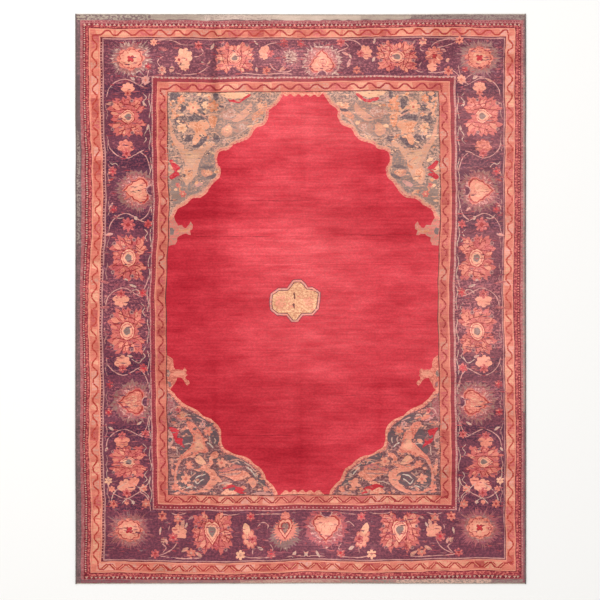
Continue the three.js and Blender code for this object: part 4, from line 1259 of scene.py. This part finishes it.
def warpPile(spots, halfX, halfY):
    x, y = spots.T
    u, v = (x / halfX + 1) / 2, (y / halfY + 1) / 2
    inner = np.clip(np.minimum(halfX - np.abs(x), halfY - np.abs(y)) / 10, 0, 1)
    moved = {"x": np.zeros(len(x)), "y": np.zeros(len(y))}
    for way, band, shifts in drifts:
        across, along = (x, y) if way == "x" else (y, x)
        moved[way] += np.interp(across, *np.array(band).T) * np.interp(along, *np.array(shifts).T)
    slow, quick = pile["slowSway"], pile["quickSway"]
    driftX = moved["x"] + slow * np.sin(y / 17 + 1.3) * np.sin(x / 41) + quick * np.sin(y / 6.1 + x / 70)
    driftY = moved["y"] + slow * np.sin(x / 19 + 0.4) * np.cos(y / 53) + quick * np.sin(x / 7.3 + y / 60)
    metresX, metresY = x * square, y * square
    left, right = readWaver(sideWaver, 1, metresY), -readWaver(sideWaver, 2, metresY)
    bottom, top = readWaver(endWaver, 1, metresX), -readWaver(endWaver, 2, metresX)
    worldX = metresX + left * (1 - u) + right * u + inner * driftX * square
    worldY = metresY + bottom * (1 - v) + top * v + inner * driftY * square
    hollows = 1 + np.sin(x / 9.1 + 2 * np.sin(y / 23)) * np.cos(y / 11.7 + x / 31)
    lift = rug["height"] - pile["unevenness"] * hollows
    for place, reach, depth in folds:
        lift = lift - depth * np.exp(-((x - place) / reach) ** 2)
    return worldX, worldY, lift


# Tone and wear at each point. The tone also holds the painted shade along the folds.
def readWearAndFoldShade(spots):
    tone, worn = np.ones(len(spots)), np.zeros(len(spots))
    for x, y, reachX, reachY, lighter, *paler in wornPlacesAndFoldShade:
        near = np.exp(-(((spots[:, 0] - x) / reachX) ** 2 + ((spots[:, 1] - y) / reachY) ** 2))
        tone += lighter * near
        worn += sum(paler) * near
    return tone, np.clip(worn, 0, 1)


# The rim's points in order, each with the triangle that owns the edge to the next
def boundaryLoop(faces):
    ways = np.vstack((faces[:, [0, 1]], faces[:, [1, 2]], faces[:, [2, 0]]))
    owners = np.tile(np.arange(len(faces)), 3)
    both = {tuple(way) for way in ways.tolist()}
    follow = {a: (b, owner) for (a, b), owner in zip(ways.tolist(), owners.tolist()) if (b, a) not in both}
    here = start = min(follow)
    loop, owned = [], []
    while not loop or here != start:
        loop.append(here)
        here, owner = follow[here]
        owned.append(owner)
    return loop, owned


# From 0 inside to 1 at the edge, and -1 at the opposite edge
def nearEdge(values, half, reach):
    return np.clip((np.abs(values) - half + reach) / reach, 0, 1) * np.sign(values)


def layOut():
    halfX = (rug["width"] / 2 - rug["selvedge"]["width"] - rug["yarnGap"]) / square
    halfY = (rug["length"] / 2 - rug["binding"]["width"] - rug["yarnGap"]) / square
    rim = np.array([(-halfX, -halfY), (halfX, -halfY), (halfX, halfY), (-halfX, halfY)])
    rim = splitEdges(rim, pile["rimStep"])
    reach = np.array((halfX, halfY)) - 0.5
    outlines = [splitEdges(np.clip(patch[0], -reach, reach), pile["longestEdge"]) for patch in patches]
    grid = np.arange(-halfY + 4, halfY - 3, pile["reliefGrid"])
    extra = [
        (x + draw.uniform(-1, 1), y + draw.uniform(-1, 1))
        for x in np.arange(-halfX + 4, halfX - 3, pile["reliefGrid"]) for y in grid
    ]
    extra += [
        (x + reach * f, y)
        for x, reach, depth in folds for y in np.arange(-halfY + 3, halfY - 3, pile["foldStep"])
        for f in pile["foldColumns"]
    ]
    # cut once by all outlines, then again by the edges that show, so that hidden ones leave no triangles
    spots, faces, middles = triangulate(rim, outlines, [])
    shown, edges = visibleEdges(spots, faces, choosePatches(middles, range(len(patches))))
    spots, faces, middles = triangulate(rim, [], shown.tolist() + extra, edges.tolist())
    chosen = choosePatches(middles, range(len(patches)))
    loop, owners = boundaryLoop(faces)
    # the back has the same rim, and only the larger patches
    smallest = pile["smallestOnBack"]
    large = [n for n, outline in enumerate(outlines) if np.ptp(outline, axis=0).min() > smallest]
    backSpots, backFaces, middles = triangulate(spots[loop], [outlines[n] for n in large], [])
    shown, edges = visibleEdges(backSpots, backFaces, choosePatches(middles, large))
    extra = extra[::pile["sparerOnBack"]]
    backSpots, backFaces, middles = triangulate(spots[loop], [], shown.tolist() + extra, edges.tolist())
    backChosen = choosePatches(middles, large)
    return (halfX, halfY), (spots, faces, chosen), (backSpots, backFaces, backChosen), loop, owners


def buildPile():
    (halfX, halfY), (spots, faces, chosen), (backSpots, backFaces, backChosen), loop, owners = layOut()
    count, backCount = len(spots), len(backSpots)
    places = {tuple(spot): number for number, spot in enumerate(np.round(backSpots, 2).tolist())}
    backLoop = count + np.array([places[tuple(spot)] for spot in np.round(spots[loop], 2).tolist()])

    def insetRim(points, x, y):
        inset, reach = pile["rimInset"], pile["rimReach"]
        edgeX, edgeY = nearEdge(points[:, 0], halfX, reach), nearEdge(points[:, 1], halfY, reach)
        return x - inset * edgeX, y - inset * edgeY

    worldX, worldY, lift = warpPile(spots, halfX, halfY)
    backX, backY, unused = warpPile(backSpots, halfX, halfY)
    vertices = [
        np.column_stack((*insetRim(spots, worldX, worldY), lift)),
        np.column_stack((*insetRim(backSpots, backX, backY), np.zeros(backCount))),
    ]
    rings = pile["rimRings"]
    outX, outY = nearEdge(spots[loop, 0], halfX, 0.01), nearEdge(spots[loop, 1], halfY, 0.01)
    for inset, height in rings:
        ring = (worldX[loop] - inset * outX, worldY[loop] - inset * outY, np.full(len(loop), height))
        vertices.append(np.column_stack(ring))
    vertices = np.vstack(vertices)

    starts = [count + backCount + len(loop) * k for k in range(len(rings))]
    levels = [np.array(loop)] + [start + np.arange(len(loop)) for start in starts] + [backLoop]
    rimFaces, rimOwners = [], []
    for upper, lower in zip(levels, levels[1:]):
        rimFaces.append(np.column_stack((np.roll(upper, -1), upper, lower)))
        rimFaces.append(np.column_stack((np.roll(upper, -1), lower, np.roll(lower, -1))))
        rimOwners += owners + owners
    allFaces = np.vstack([faces, backFaces[:, ::-1] + count] + rimFaces)
    allChosen = np.concatenate((chosen, backChosen, chosen[rimOwners]))
    isBack = np.zeros(len(allFaces), int)
    isBack[len(faces):len(faces) + len(backFaces)] = 1

    mesh = bpy.data.meshes.new("knottedRug")
    mesh.from_pydata(vertices.tolist(), [], allFaces.tolist())
    piece = bpy.data.objects.new("knottedRug", mesh)
    bpy.context.collection.objects.link(piece)
    mesh.polygons.foreach_set("use_smooth", np.ones(len(allFaces), bool))
    mesh.polygons.foreach_set("material_index", isBack)

    # the first dye's alpha tells the plain field from the pattern
    firstDye = np.array([linear(dyes[patch[1]], float(patch[1] not in fieldDyes)) for patch in patches])
    secondDye = np.array([linear(dyes[patch[2]], patch[3]) for patch in patches])
    for name, table in (("dye", firstDye), ("secondDye", secondDye)):
        layer = mesh.attributes.new(name, "FLOAT_COLOR", "FACE")
        layer.data.foreach_set("color", table[allChosen].astype(np.float32).ravel())
    # the tone attribute carries the wear and the painted shade along the folds
    wear, backWearAndFoldShade = readWearAndFoldShade(spots), readWearAndFoldShade(backSpots)
    for name, values, backValues in zip(("tone", "worn"), wear, backWearAndFoldShade):
        layer = mesh.attributes.new(name, "FLOAT", "POINT")
        values = np.concatenate((values, backValues, np.tile(values[loop], len(rings))))
        layer.data.foreach_set("value", values.astype(np.float32))

    # the top fills most of the OFBake map, and the back gets a narrow strip beside it
    corners, share = allFaces.ravel(), pile["backUvShare"]
    fill, margin = pile["uvFill"], (1 - pile["uvFill"]) / 2
    u = (vertices[corners, 0] / rug["width"] + 0.5) * fill + margin
    v = (vertices[corners, 1] / rug["length"] + 0.5) * fill + margin
    u = np.where(np.repeat(isBack, 3) == 1, 1 - share + u * share, u * (1 - share))
    uvLayer = mesh.uv_layers.new(name="OFBake")
    uvLayer.data.foreach_set("uv", np.column_stack((u, v)).astype(np.float32).ravel())
    mesh.validate()
    mesh.update()
    print("rug: knotted slab has", len(faces), "triangles on top and", len(allFaces), "in all")
    return piece


knottedRug = buildPile()


# Wool, hand-spun and dyed with madder and indigo, knotted and cut to a pile. Each knot takes the dye a
# little differently, and each weft's row was beaten in on its own: the eye sees speckle and thin streaks.
pileWool = {
    "knot": 0.0045,
    "tones": {"speckle": 0.90, "knots": 0.20, "rows": 0.08, "longStreaks": 0.50, "clouds": 0.80},
    "fieldSpeckle": 0.52,  # the plain field is more even than the pattern
    "mixing": {"speckle": 2.3, "streaks": 0.9, "knots": 0.4},  # what lets the second dye through
    "mixingEdge": (0.32, 0.68),
    "deepening": 0.12,  # how much more saturated darker wool is
    "dyeLots": 1.0,
    "lotSides": ((-0.78, -0.36), (-0.10, 0.30)),  # metres over which the left and the right lots fade in
    "lotWaver": 0.06,
    "wornDye": "#F0A89C",
    "wornAmount": 1.0,
    "rowDepth": 0.45,
    "fibreDepth": 0.8,
    "bumpDepth": 0.0012,
    "bumpStrength": 0.6,
    "roughness": 0.9,
    "roughnessSpread": 0.1,
    "sheen": 0.12,
    "sheenRoughness": 0.5,
    "sheenTint": "#FFE9DC",
    "specularLevel": 0.15,
}
# The same wool seen from the back, where each knot is a small node held down by the wefts. No pile wears
# there, so the colours are cleaner and the surface is flat and ribbed.
backWool = dict(
    pileWool, tones={"speckle": 0.12, "knots": 0.26, "rows": 0.08, "longStreaks": 0.2, "clouds": 0.1},
    dyeLots=0.4, wornAmount=0.0, rowDepth=1.0, fibreDepth=0.3, bumpDepth=0.0010, sheen=0.05,
)
# how each unevenness is stretched, as repeats to the metre across and along the rug, its detail and roughness
unevenness = {
    "speckle": ((50, 66, 1), 2, 0.62),  # tufts of some 20 mm by 15 mm
    "streaks": ((12, 66, 1), 3, 0.6),
    "longStreaks": ((2.6, 34, 1), 4, 0.7),
    "clouds": ((3.0, 7.0, 1), 4, 0.6),
    "fibres": ((330, 420, 300), 2, 0.7),
}
# the field's dye lots: place along the rug in squares, then how much lighter at the left, middle and right
dyeLots = [
    (-205, -0.10, -0.05, 0.05), (-170, -0.10, 0.0, 0.20), (-150, -0.15, -0.25, 0.10),
    (-138, -0.10, 0.0, 0.10), (-120, -0.22, -0.12, -0.02), (-84, -0.12, -0.17, -0.12),
    (-72, -0.10, 0.10, 0.06), (-60, -0.15, 0.0, 0.02), (-42, -0.10, 0.0, -0.08), (-28, -0.05, 0.05, 0.0),
    (0, -0.15, -0.15, -0.05), (24, -0.10, 0.10, 0.14), (34, -0.20, 0.10, 0.0), (54, 0.0, 0.05, -0.03),
    (64, -0.30, 0.08, -0.18), (73, -0.04, 0.15, -0.08), (84, -0.32, -0.04, -0.16),
    (90, -0.26, -0.10, -0.15), (115, -0.20, 0.10, 0.10), (136, -0.15, 0.0, -0.05),
    (160, -0.05, 0.12, -0.05), (205, 0.0, 0.10, -0.05),
]


def makeKnottedWool(name, settings):
    material = bpy.data.materials.new(name)
    material.use_nodes = True
    tree = material.node_tree
    place = addNode(tree, "TexCoord", {}, {}).outputs["Object"]
    dye, secondDye, tone, worn = [
        addNode(tree, "Attribute", {"attribute_name": attribute}, {})
        for attribute in ("dye", "secondDye", "tone", "worn")
    ]
    # each of these ends up between about -0.5 and 0.5
    draws = {}
    for key, (stretch, detail, roughness) in unevenness.items():
        spread = addNode(tree, "VectorMath", multiply, {0: place, 1: stretch})
        look = {"Vector": spread, "Scale": 1.0, "Detail": detail, "Roughness": roughness}
        draws[key] = addNode(tree, "TexNoise", {}, look)
    knot = settings["knot"]
    for key, size in (("knots", (knot, knot, 1)), ("rows", (60, knot, 1))):
        cell = addNode(tree, "VectorMath", snap, {0: place, 1: size})
        draws[key] = addNode(tree, "TexWhiteNoise", {"noise_dimensions": "3D"}, {"Vector": cell})
    for key, source in draws.items():
        draws[key] = addNode(tree, "Math", subtract, {0: source, 1: 0.5})

    # the second dye comes through where streaks and knots let it
    mixed = secondDye.outputs["Alpha"]
    for key, amount in settings["mixing"].items():
        mixed = addNode(tree, "Math", multiplyAdd, {0: draws[key], 1: amount, 2: mixed})
    low, high = settings["mixingEdge"]
    through = addNode(tree, "MapRange", smoothStep, {"Value": mixed, "From Min": low, "From Max": high})
    dyed = {0: through, 6: dye.outputs["Color"], 7: secondDye.outputs["Color"]}
    colour = addNode(tree, "Mix", colours, dyed)

    # where the pile is worn, paler ends of the wool show in streaks
    paler = addNode(tree, "Math", add, {0: draws["streaks"], 1: draws["longStreaks"]})
    paler = addNode(tree, "Math", add, {0: paler, 1: 0.5})
    for factor in (worn.outputs["Fac"], settings["wornAmount"]):
        paler = addNode(tree, "Math", multiply, {0: paler, 1: factor})
    wornOver = {0: paler, 6: colour, 7: linear(settings["wornDye"])}
    colour = addNode(tree, "Mix", colours, wornOver)

    # the dye's alpha is 0 on the plain field and 1 on the pattern
    onPattern = dye.outputs["Alpha"]
    byAlpha = {"Value": onPattern, "To Min": settings["fieldSpeckle"], "To Max": 1.0}
    evenness = addNode(tree, "MapRange", {}, byAlpha)
    draws["speckle"] = addNode(tree, "Math", multiply, {0: draws["speckle"], 1: evenness})
    value = 1.0
    for key, amount in settings["tones"].items():
        value = addNode(tree, "Math", multiplyAdd, {0: draws[key], 1: amount, 2: value})
    # the tone darkens or lightens the colour: worn places, and painted shade along the folds
    value = addNode(tree, "Math", multiply, {0: value, 1: tone.outputs["Fac"]})

    # the field's dye lots, carried by a ramp along the rug: its red is for the left side, its green for the
    # middle and its blue for the right
    start, end = dyeLots[0][0] * square, dyeLots[-1][0] * square
    spot = addNode(tree, "SeparateXYZ", {}, {0: place})
    waver = {0: draws["clouds"], 1: settings["lotWaver"], 2: spot.outputs["Y"]}
    along = addNode(tree, "Math", multiplyAdd, waver)
    along = addNode(tree, "MapRange", {}, {"Value": along, "From Min": start, "From Max": end})
    ramp = addNode(tree, "ValToRGB", {}, {0: along})
    stops = ramp.color_ramp.elements
    while len(stops) < len(dyeLots):
        stops.new(0.5)
    for stop, (lot, *lighter) in zip(stops, dyeLots):
        stop.position = (lot * square - start) / (end - start)
        stop.color = [0.5 + amount for amount in lighter] + [1.0]
    left, right = [
        addNode(tree, "MapRange", smoothStep, {
            "Value": spot.outputs["X"], "From Min": low, "From Max": high,
            "To Min": atLow, "To Max": 1.0 - atLow,
        })
        for (low, high), atLow in zip(settings["lotSides"], (1.0, 0.0))
    ]
    sides = addNode(tree, "Math", add, {0: left, 1: right})
    middle = addNode(tree, "Math", subtract, {0: 1.0, 1: sides})
    shares = addNode(tree, "CombineXYZ", {}, {0: left, 1: middle, 2: right})
    lot = addNode(tree, "VectorMath", {"operation": "DOT_PRODUCT"}, {0: ramp.outputs["Color"], 1: shares})
    amount = settings["dyeLots"]
    lot = addNode(tree, "Math", multiplyAdd, {0: lot, 1: amount, 2: 1 - amount / 2})
    lot = addNode(tree, "Mix", {}, {0: onPattern, 2: lot, 3: 1.0})
    value = addNode(tree, "Math", multiply, {0: value, 1: lot})
    # darker wool holds more dye, so it is also more saturated
    amount = settings["deepening"]
    deeper = addNode(tree, "Math", multiplyAdd, {0: value, 1: -amount, 2: 1 + amount})
    colour = addNode(tree, "HueSaturation", {}, {"Value": value, "Saturation": deeper, "Color": colour})

    uneven = {0: draws["knots"], 1: settings["roughnessSpread"], 2: settings["roughness"]}
    rough = addNode(tree, "Math", multiplyAdd, uneven)

    # bump of its own: rows of knots and the ends of the fibres. A wave texture of scale 1 has 20 / 2 pi bands
    # to the metre.
    rows = {"Vector": place, "Scale": 2 * math.pi / 20 / knot, "Distortion": 0.0}
    ribs = addNode(tree, "TexWave", {"bands_direction": "Y"}, rows).outputs["Fac"]
    ribs = addNode(tree, "Math", multiply, {0: ribs, 1: settings["rowDepth"]})
    ends = {0: draws["fibres"], 1: settings["fibreDepth"], 2: ribs}
    height = addNode(tree, "Math", multiplyAdd, ends)
    relief = {"Height": height, "Distance": settings["bumpDepth"], "Strength": settings["bumpStrength"]}
    setInputs(tree, tree.nodes["Principled BSDF"], {
        "Base Color": colour,
        "Roughness": rough,
        "Sheen Weight": settings["sheen"],
        "Sheen Roughness": settings["sheenRoughness"],
        "Sheen Tint": linear(settings["sheenTint"]),
        "Specular IOR Level": settings["specularLevel"],
        "Normal": addNode(tree, "Bump", {}, relief),
    })
    return material


knottedRug.data.materials.append(makeKnottedWool("handKnottedWoolPile", pileWool))
knottedRug.data.materials.append(makeKnottedWool("handKnottedWoolBack", backWool))
print("rug: pile dyed")

# The overcast cords at the four edges. Yarn is wound over a core in turns that lie side by side.
cord = {
    "turnLength": 0.007,
    "stationsPerTurn": 4,
    "around": 12,
    "swell": 0.0006,  # how far a turn stands out from the groove beside it
    "unevenTurns": 0.00025,
    "uvRows": 16,
    "uvBand": (0.06, 0.86),  # where each row of the map starts, and how much of it is used
    "uvFill": 0.99,
}
# the first number is how dark the grooves between the turns are painted, as painted shade, and "share" how
# much of the second dye shows
selvedgeWool = {"dye": "#6F6160", "secondDye": "#94807A", "paintedGrooveShade": 0.62, "share": 0.45}
bindingWool = {"dye": "#A8998C", "secondDye": "#D2C2B4", "paintedGrooveShade": 0.66, "share": 0.5}
overcastYarn = {
    "patches": 9.0,  # to the metre
    "patchEdge": 0.15,
    "turnTones": 0.24,
    "roughness": 0.86,
    "roughnessSpread": 0.08,
    "sheen": 0.15,
    "sheenRoughness": 0.5,
    "specularLevel": 0.25,
    "fibres": (1400, 300),  # to the metre, across the yarn and along it
    "bumpDepth": 0.0005,
    "bumpStrength": 0.6,
}


def cordSection(width, height):
    radius = height / 2
    turns = np.linspace(-math.pi / 2, math.pi / 2, cord["around"] - 3)
    out = np.concatenate((width - radius + radius * np.cos(turns), [0.0, 0.0, 0.0]))
    up = np.concatenate((radius + radius * np.sin(turns), [height, radius, 0.0]))
    return out, up


# A cord along an edge. Along is the axis that it runs on, and side says which of the two edges it is.
def buildCord(name, side, alongY, start, end, width, height, seed):
    scatter = np.random.default_rng(seed)
    turnCount = round((end - start) / cord["turnLength"])
    stations = np.linspace(start, end, turnCount * cord["stationsPerTurn"] + 1)
    out, up = cordSection(width, height)
    around = len(out)
    table, column = sideWaver if alongY else endWaver, 1 if side < 0 else 2
    reach = (rug["width"] if alongY else rug["length"]) / 2
    inner = reach - readWaver(table, column, stations) - width

    centreOut, centreUp = width / 2, height / 2
    turnOf = np.arange(len(stations)) / cord["stationsPerTurn"]
    slant = np.arctan2(up - centreUp, out - centreOut) / (2 * math.pi)
    phase = turnOf[:, None] + slant[None, :]
    ridge = 0.5 + 0.5 * np.cos(2 * math.pi * phase)
    uneven = scatter.uniform(-1, 1, turnCount + 3)[np.floor(phase + 1).astype(int)] * cord["unevenTurns"]
    sink = (1 - ridge) * cord["swell"] + np.abs(uneven) * 0.6
    fit = np.ones_like(sink)
    fit[[0, -1]] = 0
    shape = 1 - fit * sink / (height / 2)
    # the side that lies against the pile stays flat
    localOut = np.where(out[None, :] == 0, 0.0, centreOut + (out - centreOut) * shape)
    localUp = np.maximum(centreUp + (up - centreUp) * shape, 0)
    localUp[:, up == 0] = 0
    acrossPlace = side * (inner[:, None] + localOut)
    alongPlace = stations[:, None] + uneven * 0.8 * fit
    columns = (acrossPlace, alongPlace, localUp) if alongY else (alongPlace, acrossPlace, localUp)
    vertices = np.stack(columns, axis=-1).reshape(-1, 3)

    faces = []
    for station in range(len(stations) - 1):
        here = station * around + np.arange(around)
        beside = station * around + (np.arange(around) + 1) % around
        faces.append(np.column_stack((here, beside, beside + around, here + around)))
    faces = np.vstack(faces)
    ends = [list(range(around)), list(range(len(vertices) - 1, len(vertices) - around - 1, -1))]
    flip = (side > 0) == alongY
    if flip:
        faces = faces[:, ::-1]
        ends = [end[::-1] for end in ends]
    mesh = bpy.data.meshes.new(name)
    mesh.from_pydata(vertices.tolist(), [], faces.tolist() + ends)
    piece = bpy.data.objects.new(name, mesh)
    bpy.context.collection.objects.link(piece)
    # the ridge, 1 on a turn's crest and 0 in a groove, also lets the material paint shade into the grooves
    layer = mesh.attributes.new("ridge", "FLOAT", "POINT")
    layer.data.foreach_set("value", ridge.astype(np.float32).ravel())

    # the OFBake map: the cord's length is folded into rows, each as high as the way round it
    uvLayer = mesh.uv_layers.new(name="OFBake")
    rows = cord["uvRows"]
    perRow = math.ceil((len(stations) - 1) / rows)
    quads = len(stations) - 1
    station = np.repeat(np.arange(quads), around)
    step = np.tile(np.arange(around), quads)
    row = station // perRow
    u0, u1 = (station % perRow) / perRow, (station % perRow + 1) / perRow
    first, used = cord["uvBand"]
    v0, v1 = [(row + first + used * (step + k) / around) / rows for k in (0, 1)]
    corners = [(u0, v0), (u0, v1), (u1, v1), (u1, v0)]
    if flip:
        corners = corners[::-1]
    uv = np.stack([np.column_stack(corner) for corner in corners], axis=1)
    uv = uv * (cord["uvFill"], 1.0) + ((1 - cord["uvFill"]) / 2, 0)
    capUv = np.full((2 * around, 2), 0.002)
    uvLayer.data.foreach_set("uv", np.vstack((uv.reshape(-1, 2), capUv)).astype(np.float32).ravel())
    mesh.polygons.foreach_set("use_smooth", np.ones(len(mesh.polygons), bool))
    mesh.update()
    return piece


# Wool yarn, overcast by hand: the eye sees round ridges side by side, with grooves between them that are
# darkened by painted shade
def makeOvercastWool(name, settings, alongY):
    material = bpy.data.materials.new(name)
    material.use_nodes = True
    tree = material.node_tree
    yarn = overcastYarn
    place = addNode(tree, "TexCoord", {}, {}).outputs["Object"]
    ridge = addNode(tree, "Attribute", {"attribute_name": "ridge"}, {}).outputs["Fac"]
    look = {"Vector": place, "Scale": yarn["patches"], "Detail": 5.0, "Roughness": 0.65}
    patch = addNode(tree, "TexNoise", {}, look)
    mixed = addNode(tree, "Math", add, {0: patch, 1: settings["share"] - 1.0})
    edge = yarn["patchEdge"]
    through = addNode(tree, "MapRange", {}, {"Value": mixed, "From Min": -edge, "From Max": edge})
    dyed = {0: through, 6: linear(settings["dye"]), 7: linear(settings["secondDye"])}
    colour = addNode(tree, "Mix", colours, dyed)
    size = (1, cord["turnLength"], 1) if alongY else (cord["turnLength"], 1, 1)
    turn = addNode(tree, "VectorMath", snap, {0: place, 1: size})
    turnDraw = addNode(tree, "TexWhiteNoise", {"noise_dimensions": "3D"}, {"Vector": turn})
    # shade is painted shade: darker in the grooves between the turns, full on their ridges
    shade, tone, rough = [
        addNode(tree, "Math", multiplyAdd, {0: source, 1: amount, 2: base})
        for source, amount, base in (
            (ridge, 1 - settings["paintedGrooveShade"], settings["paintedGrooveShade"]), (turnDraw, yarn["turnTones"], 0.9),
            (turnDraw, yarn["roughnessSpread"], yarn["roughness"]),
        )
    ]
    value = addNode(tree, "Math", multiply, {0: shade, 1: tone})
    # the yarn's own fibres run the way that it is wound, across the cord
    fine, long = yarn["fibres"]
    stretch = (long, fine, long) if alongY else (fine, long, long)
    fibrePlace = addNode(tree, "VectorMath", multiply, {0: place, 1: stretch})
    fibres = addNode(tree, "TexNoise", {}, {"Vector": fibrePlace, "Scale": 1.0, "Detail": 2.0})
    relief = {"Height": fibres, "Distance": yarn["bumpDepth"], "Strength": yarn["bumpStrength"]}
    setInputs(tree, tree.nodes["Principled BSDF"], {
        "Base Color": addNode(tree, "HueSaturation", {}, {"Value": value, "Color": colour}),
        "Roughness": rough,
        "Sheen Weight": yarn["sheen"],
        "Sheen Roughness": yarn["sheenRoughness"],
        "Specular IOR Level": yarn["specularLevel"],
        "Normal": addNode(tree, "Bump", {}, relief),
    })
    return material


def buildCords():
    selvedgeFinish = makeOvercastWool("overcastSelvedgeWool", selvedgeWool, True)
    bindingFinish = makeOvercastWool("overcastBindingWool", bindingWool, False)
    size = rug["selvedge"]
    pieces = {}
    for name, side, seed in (("selvedgeLeft", -1, 21), ("selvedgeRight", 1, 22)):
        edge = side * rug["width"] / 2
        start = -rug["length"] / 2 + readWaver(endWaver, 1, edge)
        end = rug["length"] / 2 - readWaver(endWaver, 2, edge)
        pieces[name] = buildCord(name, side, True, start, end, size["width"], size["height"], seed)
        pieces[name].data.materials.append(selvedgeFinish)
    inset = rug["selvedge"]["width"] + rug["yarnGap"]
    size = rug["binding"]
    for name, side, seed in (("endBindingBottom", -1, 23), ("endBindingTop", 1, 24)):
        place = side * rug["length"] / 2
        start = -rug["width"] / 2 + readWaver(sideWaver, 1, place) + inset
        end = rug["width"] / 2 - readWaver(sideWaver, 2, place) - inset
        pieces[name] = buildCord(name, side, False, start, end, size["width"], size["height"], seed)
        pieces[name].data.materials.append(bindingFinish)
    print("rug: cords overcast")
    return pieces


cords = buildCords()

# What each piece stands for, and what carries it
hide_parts("rug")
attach(knottedRug, "root")
for name, node, slot in (
    ("selvedgeLeft", "selvedge_left", "selvedge_wool"),
    ("selvedgeRight", "selvedge_right", "selvedge_wool"),
    ("endBindingBottom", "end_binding_bottom", "binding_wool"),
    ("endBindingTop", "end_binding_top", "binding_wool"),
):
    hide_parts(node)
    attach(cords[name], "root")

print("rug: finished")
